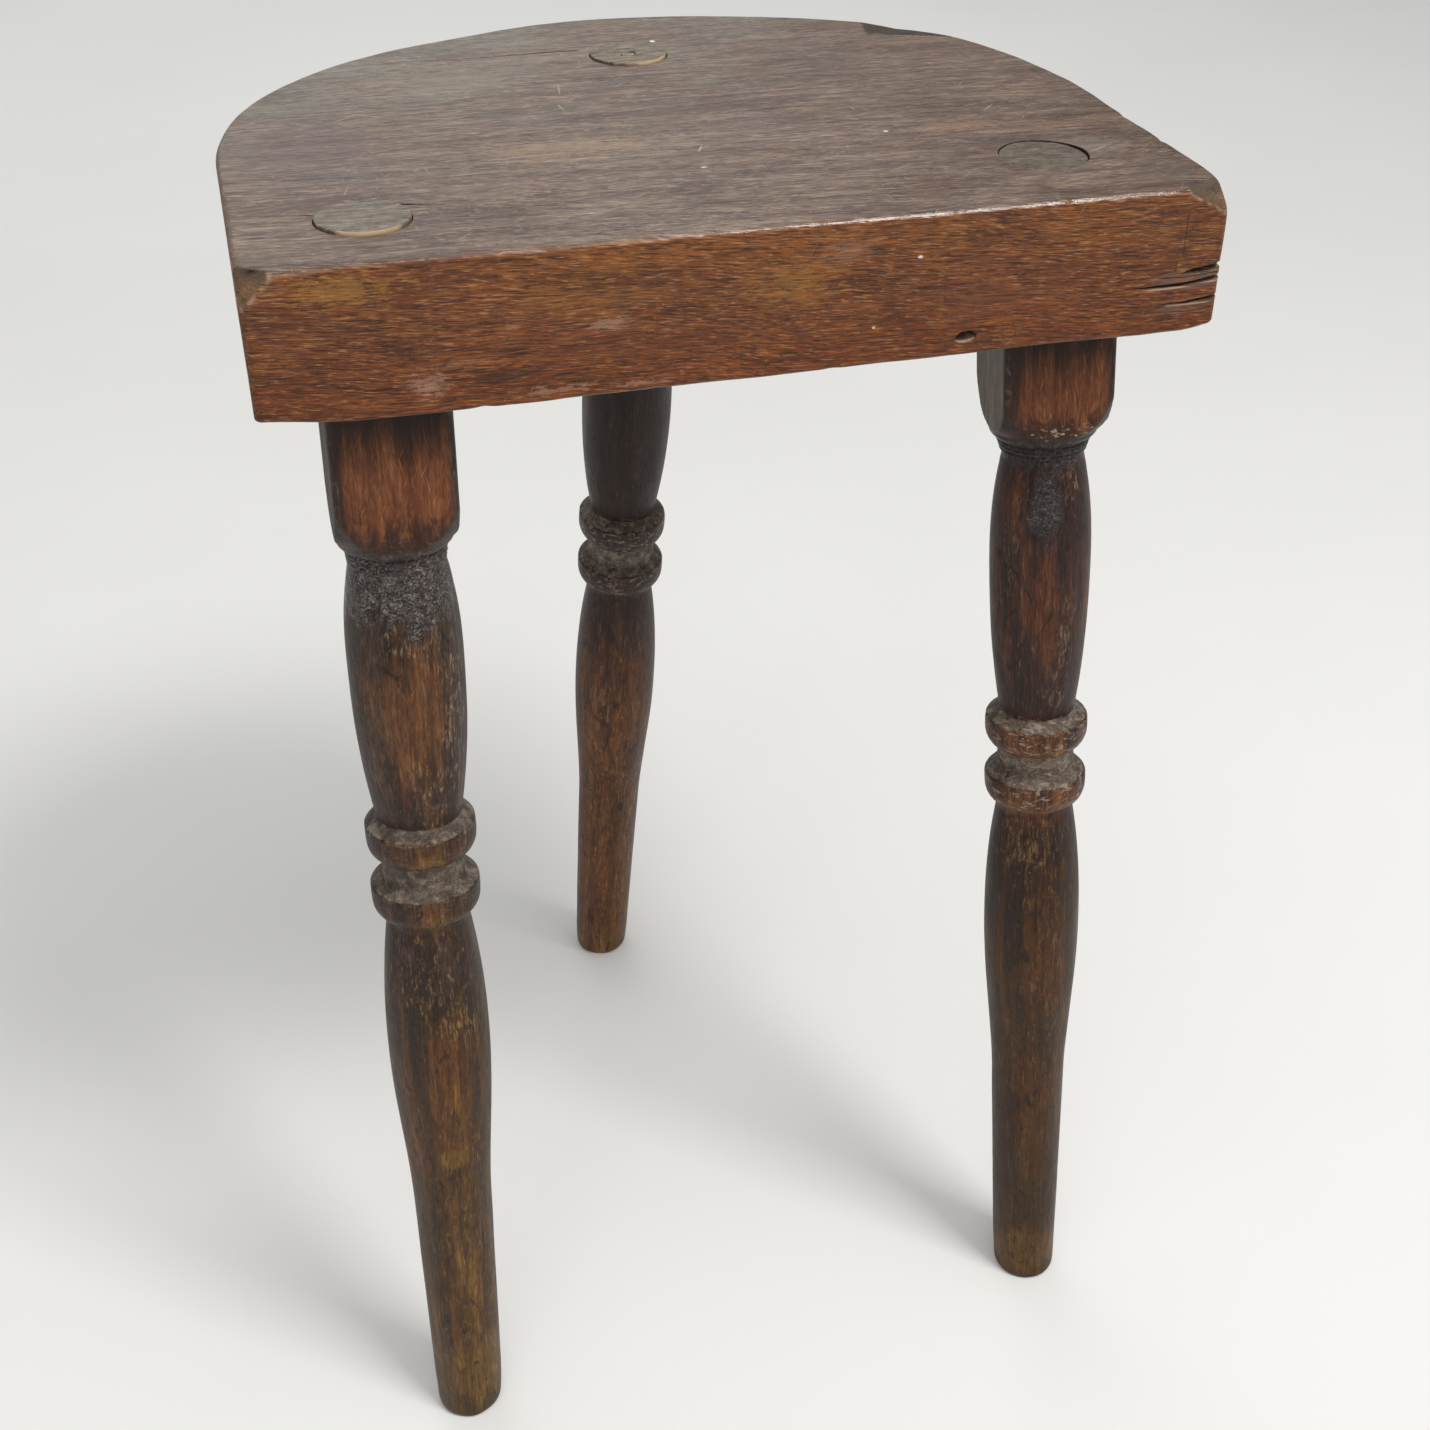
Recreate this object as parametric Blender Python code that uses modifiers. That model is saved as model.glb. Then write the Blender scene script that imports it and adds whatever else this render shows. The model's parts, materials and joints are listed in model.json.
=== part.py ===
"""Three-legged milking stool: a D-shaped plank seat on three splayed, turned legs.

Units are metres and +Z is up. The origin lies on the floor under the middle of the
stool, and the seat's straight front edge faces -Y.

Each leg is one piece of wood, turned from square stock. From the top down it is a
round tenon that goes right through the seat, a block left square, a neck, a long
vase, two rings, a swelling and a tapered foot. Distances along a leg are measured
down its axis from the seat's underside. The legs were turned by eye, so they differ
a little. A cut nail is driven into the end of the back leg's tenon.
"""

import math

import bmesh
import bpy
from mathutils import Quaternion, Vector

MM = 0.001
UP = Vector((0.0, 0.0, 1.0))

# Seat plank
SEAT_TOP = 430.0 * MM
SEAT_THICKNESS = 43.0 * MM
SEAT_UNDERSIDE = SEAT_TOP - SEAT_THICKNESS
SEAT_FRONT_Y = -109.0 * MM
SEAT_HALF_WIDTH = 136.3 * MM
ROUND_CENTRE_Y = SEAT_FRONT_Y + 87.5 * MM
ROUND_STEPS = 36
SEAT_EDGE_ROUNDING = 1.6 * MM
SEAT_EDGE_SEGMENTS = 3

# The half-round was sawn by hand: each entry is a swelling or a flat of its outline,
# as its angle from +X, its spread and how far it stands out.
ROUND_ERRORS = (
    (math.radians(41.0), math.radians(22.0), 8.5 * MM),
    (math.radians(112.0), math.radians(12.0), -2.7 * MM),
    (math.radians(155.0), math.radians(15.0), 1.2 * MM),
)

# Oval hole in the front face of the plank, running straight back
HOLE_X = 59.0 * MM
HOLE_Z = 393.0 * MM
HOLE_HALF_WIDTH = 3.0 * MM
HOLE_HALF_HEIGHT = 1.7 * MM
HOLE_DEPTH = 14.0 * MM
HOLE_SIDES = 16

# Leg stock and the turned shape that all three legs share. The block's rounded lower
# corners are (height above the block's end, how far beyond the stock's half side).
STOCK_HALF_SIDE = 17.3 * MM
STOCK_ROUNDING = 2.0 * MM
STOCK_SEGMENTS = 2
CORNER_RADIUS = 26.0 * MM
BLOCK_ROUNDING = (
    (15.5 * MM, 8.7 * MM), (12.5 * MM, 6.6 * MM), (7.5 * MM, 4.9 * MM),
    (4.0 * MM, 3.5 * MM), (1.6 * MM, 1.8 * MM), (0.0, 0.0),
)
TENON_RADIUS = 12.8 * MM
TENON_ROOT = 15.0 * MM
NECK_DROP = 7.5 * MM
VASE_END = 138.6 * MM
VASE_STEPS = 14
RING_RADIUS = 17.25 * MM
RING_BAND = 5.5 * MM
RING_ARRIS_DEPTH = 0.5 * MM
RING_ARRIS_DROP = 1.6 * MM
RING_ROUND_STEPS = 4
RING_ROUND_DEPTH = 4.2 * MM
RING_ROUND_LENGTH = 5.4 * MM
RING_ARRISES = (141.3 * MM, 162.7 * MM)
GROOVE_RADIUS = 13.1 * MM
GROOVE_END = 155.3 * MM
SWELL_START = 176.5 * MM
SWELL_BELLY = 226.0 * MM
SWELL_RADIUS = 16.8 * MM
ANKLE = 298.0 * MM
ANKLE_RADIUS = 13.3 * MM
FOOT_RADIUS = 11.7 * MM
SWELL_POWER = 2.2
SWELL_STEPS = 8
SWELL_TOP = 1.0 * MM
LEG_SIDES = 28
TENON_SIDES = 32

FIT_GAP = 0.3 * MM
SPARE = 12.0 * MM
SLAB_REACH = 100.0 * MM
SLAB_HALF_WIDTH = 300.0 * MM
MERGE_DISTANCE = 0.01 * MM
FLAT_ANGLE = math.radians(0.5)
BEVEL_ANGLE = math.radians(40.0)
SHARP_ANGLE = math.radians(35.0)

# Where each leg's axis crosses the seat's top plane and the floor, where the middle of
# its tenon shows on the seat, and how the turner's eye made this leg differ.
LEGS = (
    {
        "name": "leg_front_left",
        "axis_top": (-99.9 * MM, -75.2 * MM),
        "axis_foot": (-111.1 * MM, -118.8 * MM),
        "tenon_top": (-101.0 * MM, -75.7 * MM),
        "tenon_rise": 0.8 * MM,
        "twist": math.radians(0.0),
        "block": 46.0 * MM,
        "neck_radius": 14.1 * MM,
        "vase_belly": 87.0 * MM,
        "vase_radius": 17.3 * MM,
        "vase_end_radius": 13.2 * MM,
    },
    {
        "name": "leg_front_right",
        "axis_top": (97.3 * MM, -70.2 * MM),
        "axis_foot": (110.8 * MM, -115.1 * MM),
        "tenon_top": (95.7 * MM, -69.3 * MM),
        "tenon_rise": -0.6 * MM,
        "twist": math.radians(-7.0),
        "block": 39.0 * MM,
        "neck_radius": 12.6 * MM,
        "vase_belly": 83.0 * MM,
        "vase_radius": 16.3 * MM,
        "vase_end_radius": 12.5 * MM,
    },
    {
        "name": "leg_back",
        "axis_top": (7.3 * MM, 64.1 * MM),
        "axis_foot": (-10.6 * MM, 118.8 * MM),
        "tenon_top": (2.8 * MM, 64.6 * MM),
        "tenon_rise": 0.8 * MM,
        "twist": math.radians(4.0),
        "block": 43.0 * MM,
        "neck_radius": 13.5 * MM,
        "vase_belly": 88.0 * MM,
        "vase_radius": 17.1 * MM,
        "vase_end_radius": 12.6 * MM,
    },
)

# Cut nail in the back tenon, sunk below the tenon's end in a small pit
NAILED_LEG = "leg_back"
NAIL_SINK = 0.7 * MM
NAIL_HEAD = (4.6 * MM, 3.0 * MM, 1.2 * MM)
NAIL_LENGTH = 25.0 * MM
NAIL_SHANK = 1.3 * MM
NAIL_SHANK_SIDES = 4
NAIL_TIP = 0.5 * MM
NAIL_POCKET_SPARE = 5.0 * MM


def clear_scene():
    for scene_object in list(bpy.data.objects):
        bpy.data.objects.remove(scene_object, do_unlink=True)


def new_collection(name):
    collection = bpy.data.collections.new(name)
    bpy.context.scene.collection.children.link(collection)
    return collection


def move_to(collection, piece):
    for old in list(piece.users_collection):
        old.objects.unlink(piece)
    collection.objects.link(piece)


def as_part(piece, name, material):
    piece.name = name
    piece.data.name = name
    piece.data.materials.clear()
    piece.data.materials.append(material)
    move_to(PARTS, piece)
    return piece


def as_cutter(piece, name):
    piece.name = name
    piece.hide_render = True
    piece.display_type = "WIRE"
    move_to(CUTTERS, piece)
    return piece


def principled(name, color, roughness, metallic=0.0):
    material = bpy.data.materials.new(name)
    material.use_nodes = True
    shader = material.node_tree.nodes["Principled BSDF"]
    shader.inputs["Base Color"].default_value = (*color, 1.0)
    shader.inputs["Roughness"].default_value = roughness
    shader.inputs["Metallic"].default_value = metallic
    return material


def boolean(piece, cutter, operation):
    modifier = piece.modifiers.new(f"{operation} {cutter.name}", "BOOLEAN")
    modifier.object = cutter
    modifier.operation = operation
    modifier.solver = "EXACT"


def bevel(piece, width, segments):
    modifier = piece.modifiers.new("Rounding", "BEVEL")
    modifier.width = width
    modifier.segments = segments
    modifier.limit_method = "ANGLE"
    modifier.angle_limit = BEVEL_ANGLE


def shade(piece):
    piece.data.shade_smooth()
    piece.data.set_sharp_from_angle(angle=SHARP_ANGLE)


def box(name, low, high):
    """A box between two corners given in its own frame, whose origin stays at zero."""
    low = Vector(low)
    high = Vector(high)
    bpy.ops.mesh.primitive_cube_add(size=1.0)
    piece = bpy.context.object
    piece.name = name
    middle = (low + high) / 2.0
    size = high - low
    for vertex in piece.data.vertices:
        vertex.co = middle + Vector(a * b for a, b in zip(vertex.co, size))
    return piece


def rod(name, start, end, radius, end_radius, sides):
    """A round or tapered rod from start to end."""
    start = Vector(start)
    end = Vector(end)
    run = end - start
    bpy.ops.mesh.primitive_cone_add(
        vertices=sides, radius1=radius, radius2=end_radius, depth=run.length,
        location=(start + end) / 2.0,
    )
    piece = bpy.context.object
    piece.name = name
    piece.rotation_mode = "QUATERNION"
    piece.rotation_quaternion = UP.rotation_difference(run.normalized())
    return piece


def turned(name, profile, sides):
    """A solid of revolution; profile is (radius, height) pairs from top to bottom."""
    mesh = bpy.data.meshes.new(name)
    points = [(radius, 0.0, height) for radius, height in profile]
    edges = [(n, n + 1) for n in range(len(points) - 1)]
    mesh.from_pydata(points, edges, [])
    piece = bpy.data.objects.new(name, mesh)
    PARTS.objects.link(piece)
    screw = piece.modifiers.new("Turning", "SCREW")
    screw.axis = "Z"
    screw.steps = sides
    screw.render_steps = sides
    screw.use_merge_vertices = True
    screw.merge_threshold = MERGE_DISTANCE
    screw.use_smooth_shade = True
    return piece


# Seat ------------------------------------------------------------------------------


def round_radius(angle):
    """Radius of the seat's half-round at an angle from +X, with the sawing errors."""
    radius = SEAT_HALF_WIDTH
    for at, spread, height in ROUND_ERRORS:
        radius += height * math.exp(-(((angle - at) / spread) ** 2))
    return radius


def seat_outline():
    outline = [
        (-SEAT_HALF_WIDTH, SEAT_FRONT_Y),
        (SEAT_HALF_WIDTH, SEAT_FRONT_Y),
    ]
    for n in range(ROUND_STEPS + 1):
        angle = math.pi * n / ROUND_STEPS
        radius = round_radius(angle)
        outline.append((
            radius * math.cos(angle),
            ROUND_CENTRE_Y + radius * math.sin(angle),
        ))
    return outline


def plank(name, outline, thickness):
    """A flat solid from a filled and extruded outline, as a mesh with clean faces."""
    curve = bpy.data.curves.new(name, "CURVE")
    curve.dimensions = "2D"
    curve.fill_mode = "BOTH"
    curve.extrude = thickness / 2.0
    spline = curve.splines.new("POLY")
    spline.points.add(len(outline) - 1)
    for point, (x, y) in zip(spline.points, outline):
        point.co = (x, y, 0.0, 1.0)
    spline.use_cyclic_u = True
    drawn = bpy.data.objects.new(f"{name} outline", curve)
    bpy.context.scene.collection.objects.link(drawn)
    graph = bpy.context.evaluated_depsgraph_get()
    mesh = bpy.data.meshes.new_from_object(drawn.evaluated_get(graph))
    bpy.data.objects.remove(drawn, do_unlink=True)

    surface = bmesh.new()
    surface.from_mesh(mesh)
    bmesh.ops.remove_doubles(surface, verts=surface.verts, dist=MERGE_DISTANCE)
    bmesh.ops.dissolve_limit(
        surface, angle_limit=FLAT_ANGLE,
        verts=surface.verts, edges=surface.edges,
    )
    bmesh.ops.recalc_face_normals(surface, faces=surface.faces)
    surface.to_mesh(mesh)
    surface.free()
    return bpy.data.objects.new(name, mesh)


def make_seat():
    seat = plank("seat", seat_outline(), SEAT_THICKNESS)
    seat.location.z = SEAT_TOP - SEAT_THICKNESS / 2.0
    as_part(seat, "seat", principled("seat wood", (0.17, 0.10, 0.07), 0.5))
    bevel(seat, SEAT_EDGE_ROUNDING, SEAT_EDGE_SEGMENTS)
    for leg in LEGS:
        root, top = tenon_line(leg)
        mortise = rod("mortise", root, top, TENON_RADIUS + FIT_GAP,
                      TENON_RADIUS + FIT_GAP, TENON_SIDES)
        as_cutter(mortise, f"{leg['name']} mortise")
        boolean(seat, mortise, "DIFFERENCE")
    boolean(seat, oval_hole(), "DIFFERENCE")
    shade(seat)
    return seat


def oval_hole():
    start = (HOLE_X, SEAT_FRONT_Y - HOLE_DEPTH, HOLE_Z)
    end = (HOLE_X, SEAT_FRONT_Y + HOLE_DEPTH, HOLE_Z)
    hole = rod("oval hole", start, end, 1.0, 1.0, HOLE_SIDES)
    # The rod is turned from Z to Y, so its own X stays across and its Y is the height.
    for vertex in hole.data.vertices:
        vertex.co.x *= HOLE_HALF_WIDTH
        vertex.co.y *= HOLE_HALF_HEIGHT
    return as_cutter(hole, "oval hole")


# Legs ------------------------------------------------------------------------------


def leg_axis(leg):
    """Where the leg's axis meets the seat's underside, and its upward direction."""
    top = Vector((*leg["axis_top"], SEAT_TOP))
    foot = Vector((*leg["axis_foot"], 0.0))
    root = foot.lerp(top, SEAT_UNDERSIDE / SEAT_TOP)
    return root, (top - foot).normalized()


def tenon_line(leg):
    """The tenon's axis, from inside the leg's block to above the seat."""
    root, up = leg_axis(leg)
    start = root - up * TENON_ROOT
    shown = Vector((*leg["tenon_top"], SEAT_TOP))
    lean = (shown - start).normalized()
    return start, shown + lean * SPARE


def swelling(start, start_radius, belly, belly_radius, end, end_radius, steps):
    """Points of a belly between two narrow places, both ends included."""
    points = []
    for n in range(steps + 1):
        at = start + (end - start) * n / steps
        if at < belly:
            share = (belly - at) / (belly - start)
            edge_radius = start_radius
        else:
            share = (at - belly) / (end - belly)
            edge_radius = end_radius
        fullness = 1.0 - share ** SWELL_POWER
        points.append((edge_radius + (belly_radius - edge_radius) * fullness, at))
    return points


def ring(arris):
    """A ring below its sloping shoulder: arris, straight band, rounded lower edge."""
    points = [(RING_RADIUS - RING_ARRIS_DEPTH, arris), (RING_RADIUS, arris + RING_ARRIS_DROP)]
    band_end = arris + RING_BAND
    for n in range(RING_ROUND_STEPS + 1):
        angle = math.pi / 2.0 * n / RING_ROUND_STEPS
        points.append((
            RING_RADIUS - RING_ROUND_DEPTH * (1.0 - math.cos(angle)),
            band_end + RING_ROUND_LENGTH * math.sin(angle),
        ))
    return points


def ankle(steps):
    """The fall from the lower swelling to the ankle, then the straight taper."""
    points = []
    for n in range(1, steps + 1):
        share = n / steps
        fall = (1.0 - math.cos(math.pi * share)) / 2.0
        points.append((
            SWELL_RADIUS + (ANKLE_RADIUS - SWELL_RADIUS) * fall,
            SWELL_BELLY + (ANKLE - SWELL_BELLY) * share,
        ))
    return points


def leg_profile(leg, length):
    """(radius, distance below the seat's underside), from the block to the foot."""
    block = leg["block"]
    neck = block + NECK_DROP
    profile = [
        (0.0, -SPARE),
        (CORNER_RADIUS, -SPARE),
    ]
    profile += [(STOCK_HALF_SIDE + beyond, block - rise) for rise, beyond in BLOCK_ROUNDING]
    profile += swelling(neck, leg["neck_radius"], leg["vase_belly"],
                        leg["vase_radius"], VASE_END, leg["vase_end_radius"],
                        VASE_STEPS)
    profile += ring(RING_ARRISES[0])
    profile.append((GROOVE_RADIUS, GROOVE_END))
    profile += ring(RING_ARRISES[1])
    lower = swelling(SWELL_START, GROOVE_RADIUS, SWELL_BELLY, SWELL_RADIUS,
                     SWELL_BELLY + SWELL_TOP, SWELL_RADIUS, SWELL_STEPS)
    profile += lower[:-1]
    profile += ankle(SWELL_STEPS)
    profile.append((FOOT_RADIUS, length))
    profile.append((FOOT_RADIUS, length + SPARE))
    profile.append((0.0, length + SPARE))
    return profile


def make_leg(leg, cutters):
    name = leg["name"]
    root, up = leg_axis(leg)
    stand = UP.rotation_difference(up) @ Quaternion(UP, leg["twist"])
    length = root.z / up.z

    profile = [(radius, -at) for radius, at in leg_profile(leg, length)]
    piece = turned(name, profile, LEG_SIDES)
    piece.location = root
    piece.rotation_mode = "QUATERNION"
    piece.rotation_quaternion = stand

    reach = length + 2.0 * SPARE
    stock = box("stock", (-STOCK_HALF_SIDE, -STOCK_HALF_SIDE, -reach),
                (STOCK_HALF_SIDE, STOCK_HALF_SIDE, reach))
    stock.location = root
    stock.rotation_mode = "QUATERNION"
    stock.rotation_quaternion = stand
    bevel(stock, STOCK_ROUNDING, STOCK_SEGMENTS)
    as_cutter(stock, f"{name} stock")

    start, end = tenon_line(leg)
    tenon = rod("tenon", start, end, TENON_RADIUS, TENON_RADIUS, TENON_SIDES)
    as_cutter(tenon, f"{name} tenon")

    end_height = SEAT_TOP + leg["tenon_rise"]
    trim = cutter_slab(f"{name} tenon trim", end_height, end_height + SLAB_REACH)

    boolean(piece, stock, "INTERSECT")
    boolean(piece, cutters["shoulder"], "DIFFERENCE")
    boolean(piece, tenon, "UNION")
    boolean(piece, trim, "DIFFERENCE")
    boolean(piece, cutters["floor"], "DIFFERENCE")
    as_part(piece, name, principled(f"{name} wood", (0.10, 0.05, 0.03), 0.45))
    shade(piece)
    return piece


def cutter_slab(name, low_z, high_z):
    """A wide slab between two heights, which trims whatever reaches into it."""
    low = (-SLAB_HALF_WIDTH, -SLAB_HALF_WIDTH, low_z)
    high = (SLAB_HALF_WIDTH, SLAB_HALF_WIDTH, high_z)
    return as_cutter(box(name, low, high), name)


# Nail ------------------------------------------------------------------------------


def nail_shape(name, leg, growth, top_growth):
    """The nail, or its slightly larger pocket, along the tenon's axis."""
    start, end = tenon_line(leg)
    lean = (end - start).normalized()
    tenon_end = start + lean * ((SEAT_TOP + leg["tenon_rise"] - start.z) / lean.z)
    head_top = tenon_end - lean * NAIL_SINK
    half_wide, half_deep = (side / 2.0 + growth for side in NAIL_HEAD[:2])
    head = box(name, (-half_wide, -half_deep, -NAIL_HEAD[2] - growth),
               (half_wide, half_deep, top_growth))
    head.location = head_top
    head.rotation_mode = "QUATERNION"
    head.rotation_quaternion = UP.rotation_difference(lean)
    shank_top = head_top - lean * NAIL_HEAD[2] / 2.0
    tip = head_top - lean * (NAIL_LENGTH + growth)
    shank = rod(f"{name} shank", tip, shank_top, NAIL_TIP + growth * math.sqrt(2.0),
                NAIL_SHANK + growth * math.sqrt(2.0), NAIL_SHANK_SIDES)
    as_cutter(shank, f"{name} shank")
    boolean(head, shank, "UNION")
    return head


def make_nail(legs):
    leg = next(item for item in LEGS if item["name"] == NAILED_LEG)
    pocket = nail_shape("nail pocket", leg, FIT_GAP, NAIL_SINK + NAIL_POCKET_SPARE)
    as_cutter(pocket, "nail pocket")
    boolean(legs[NAILED_LEG], pocket, "DIFFERENCE")
    nail = nail_shape("tenon_nail", leg, 0.0, 0.0)
    return as_part(nail, "tenon_nail", principled("nail iron", (0.25, 0.24, 0.23), 0.4, 0.9))


clear_scene()
PARTS = new_collection("milking_stool")
CUTTERS = new_collection("cutters")

make_seat()
shared_cutters = {
    "shoulder": cutter_slab("under the seat", SEAT_UNDERSIDE - FIT_GAP,
                            SEAT_TOP + SLAB_REACH),
    "floor": cutter_slab("floor", -SLAB_REACH, 0.0),
}
made_legs = {leg["name"]: make_leg(leg, shared_cutters) for leg in LEGS}
make_nail(made_legs)
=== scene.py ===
"""Looks of a three-legged milking stool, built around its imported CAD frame.

The seat, the three turned legs and the nail are fine meshes made here, each standing for
its CAD node. Lengths are in metres and +Z is up. A leg's own frame has its origin where
the leg's axis meets the seat's underside, with -Z running down the leg.
"""

import itertools
import json
import math

import bmesh
import bpy
import numpy as np
from mathutils import Matrix, Quaternion, Vector


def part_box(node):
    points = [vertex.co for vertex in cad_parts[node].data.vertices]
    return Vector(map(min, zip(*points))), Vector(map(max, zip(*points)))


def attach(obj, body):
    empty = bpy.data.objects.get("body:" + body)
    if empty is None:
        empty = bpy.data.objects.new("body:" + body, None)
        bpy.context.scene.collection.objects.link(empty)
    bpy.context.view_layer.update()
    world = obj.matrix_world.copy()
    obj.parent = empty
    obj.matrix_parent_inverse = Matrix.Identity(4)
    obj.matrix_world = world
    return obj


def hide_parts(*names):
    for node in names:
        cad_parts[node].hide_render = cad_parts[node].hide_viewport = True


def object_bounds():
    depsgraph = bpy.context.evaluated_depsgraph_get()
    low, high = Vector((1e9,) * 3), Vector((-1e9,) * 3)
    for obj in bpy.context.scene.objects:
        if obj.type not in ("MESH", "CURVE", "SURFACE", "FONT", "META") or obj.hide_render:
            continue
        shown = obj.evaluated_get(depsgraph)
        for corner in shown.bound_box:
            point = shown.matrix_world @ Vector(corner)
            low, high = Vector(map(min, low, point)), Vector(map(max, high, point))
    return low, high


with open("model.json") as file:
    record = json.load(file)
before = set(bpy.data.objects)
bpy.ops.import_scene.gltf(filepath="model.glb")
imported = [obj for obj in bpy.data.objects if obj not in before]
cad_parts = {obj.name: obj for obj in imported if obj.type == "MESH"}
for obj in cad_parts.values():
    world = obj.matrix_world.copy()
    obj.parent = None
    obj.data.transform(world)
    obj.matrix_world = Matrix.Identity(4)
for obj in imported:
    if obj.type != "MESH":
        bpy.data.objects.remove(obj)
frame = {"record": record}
CAD_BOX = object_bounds()

MM = 0.001
UP = Vector((0.0, 0.0, 1.0))
SEAT_LOW, SEAT_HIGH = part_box("seat")
SEAT_TOP = SEAT_HIGH.z
UNDERSIDE = SEAT_LOW.z
FRONT_Y = SEAT_LOW.y
MOUNTS = {mount["name"]: mount for mount in frame["record"]["mounts"]}
# The front face's Y and the top's Z in millimetres, for the places that are given in millimetres
FACE_Y = -109.0
TOP_Z = 430.0


# Noise for the shapes ----------------------------------------------------------------


def lumps(points, cell, seed):
    """Smooth noise from -1 to 1 at each point; cell is the size of one lump in millimetres."""
    place = np.asarray(points, float) / (np.asarray(cell, float) * MM)
    base = np.floor(place).astype(np.int64)
    part = place - base
    part = part * part * (3.0 - 2.0 * part)
    total = np.zeros(place.shape[:-1])
    for corner in itertools.product((0, 1), repeat=3):
        n = base + np.array(corner)
        # Mixes the corner's place and the seed into 16 bits
        mixed = n[..., 0] * 374761393 + n[..., 1] * 668265263 + n[..., 2] * 1442695041
        mixed = (mixed + seed * 974634777) & 0xFFFFFFFF
        mixed = ((mixed ^ (mixed >> 13)) * 1274126177) & 0xFFFFFFFF
        mixed = (mixed ^ (mixed >> 16)) & 0xFFFF
        weight = np.prod(np.where(np.array(corner) == 1, part, 1.0 - part), axis=-1)
        total += weight * (mixed / 32767.5 - 1.0)
    return total


def rise(value, low, high):
    """0 below low, 1 above high and a smooth step in between."""
    share = np.clip((np.asarray(value, float) - low) / (high - low), 0.0, 1.0)
    return share * share * (3.0 - 2.0 * share)


def fall(value, low, high):
    """1 below low, 0 above high and a smooth step in between."""
    return rise(-np.asarray(value, float), -high, -low)


def hump(distance, width):
    """1 where a distance is 0, falling smoothly towards 0 over a few widths."""
    return np.exp(-((distance / width) ** 2))


def soft_min(a, b, width):
    """The smaller of the two, with the corner between them rounded."""
    blend = np.clip(0.5 + 0.5 * (b - a) / width, 0.0, 1.0)
    return b * (1.0 - blend) + a * blend - width * blend * (1.0 - blend)


# Mesh helpers ------------------------------------------------------------------------


def closed_grid(name, rows, first_pole, last_pole):
    """A closed mesh from rings of points, with a pole at each end."""
    count, around = rows.shape[:2]
    points = np.concatenate([rows.reshape(-1, 3), [first_pole], [last_pole]])
    faces = []
    for row in range(count - 1):
        for column in range(around):
            after = (column + 1) % around
            faces.append((
                row * around + column, row * around + after,
                (row + 1) * around + after, (row + 1) * around + column,
            ))
    first, last = count * around, count * around + 1
    for column in range(around):
        after = (column + 1) % around
        faces.append((first, after, column))
        faces.append((last, (count - 1) * around + column, (count - 1) * around + after))
    mesh = bpy.data.meshes.new(name)
    mesh.from_pydata([tuple(p) for p in points], [], faces)
    surface = bmesh.new()
    surface.from_mesh(mesh)
    bmesh.ops.recalc_face_normals(surface, faces=surface.faces)
    surface.to_mesh(mesh)
    surface.free()
    return mesh


def new_piece(name, mesh):
    piece = bpy.data.objects.new(name, mesh)
    bpy.context.scene.collection.objects.link(piece)
    return piece


def capped_piece(name, rows):
    """A piece from rings of points, each end closed at its ring's middle."""
    return new_piece(name, closed_grid(name, rows, rows[0].mean(axis=0), rows[-1].mean(axis=0)))


def cut(piece, cutters):
    """Takes each cutter out of the piece, then removes the cutters."""
    for cutter in cutters:
        modifier = piece.modifiers.new(cutter.name, "BOOLEAN")
        modifier.object = cutter
        modifier.operation = "DIFFERENCE"
        modifier.solver = "EXACT"
    bpy.context.view_layer.update()
    graph = bpy.context.evaluated_depsgraph_get()
    mesh = bpy.data.meshes.new_from_object(piece.evaluated_get(graph))
    piece.modifiers.clear()
    old = piece.data
    piece.data = mesh
    mesh.name = old.name
    bpy.data.meshes.remove(old)
    for cutter in cutters:
        bpy.data.objects.remove(cutter, do_unlink=True)


def smooth_shading(piece, sharp_degrees):
    piece.data.shade_smooth()
    piece.data.set_sharp_from_angle(angle=math.radians(sharp_degrees))


def positions(piece):
    """Every vertex of the piece, in the row frame."""
    co = np.zeros(len(piece.data.vertices) * 3, np.float32)
    piece.data.vertices.foreach_get("co", co)
    return co.reshape(-1, 3).astype(float)


def paint(piece, name, values):
    """Stores one number per vertex, which the material reads by name."""
    attribute = piece.data.attributes.new(name, "FLOAT", "POINT")
    attribute.data.foreach_set("value", np.clip(values, 0.0, 1.0).astype(np.float32))


def paint_places(piece, name, values):
    """Stores one place per vertex, such as its place in a leg's own frame."""
    attribute = piece.data.attributes.new(name, "FLOAT_VECTOR", "POINT")
    attribute.data.foreach_set("vector", values.astype(np.float32).ravel())


def ring_of(count):
    """Angles of evenly spaced points round a circle."""
    return np.arange(count) * 2.0 * math.pi / count


# Seat --------------------------------------------------------------------------------

HALF_WIDTH = 136.3 * MM
ROUND_CENTRE_Y = FRONT_Y + 87.5 * MM
# Each is where round the half-round it lies, how far it spreads and how far it stands out
ROUND_ERRORS = (
    (math.radians(41.0), math.radians(22.0), 8.5 * MM),
    (math.radians(112.0), math.radians(12.0), -2.7 * MM),
    (math.radians(155.0), math.radians(15.0), 1.2 * MM),
)
UPRIGHT_ARRIS = 2.0 * MM
SEAT_SAMPLES = 640
# How far apart the outline's points lie, against each other
CORNER_SPACING, FRONT_SPACING, ROUND_SPACING = 0.35, 1.1, 1.7
SEAT_MIDDLE = np.array((0.0, -6.0 * MM))


def round_radius(angle):
    """The half-round's radius at an angle, with the errors of the saw."""
    radius = HALF_WIDTH
    for at, spread, height in ROUND_ERRORS:
        radius = radius + height * hump(angle - at, spread)
    return radius


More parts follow.
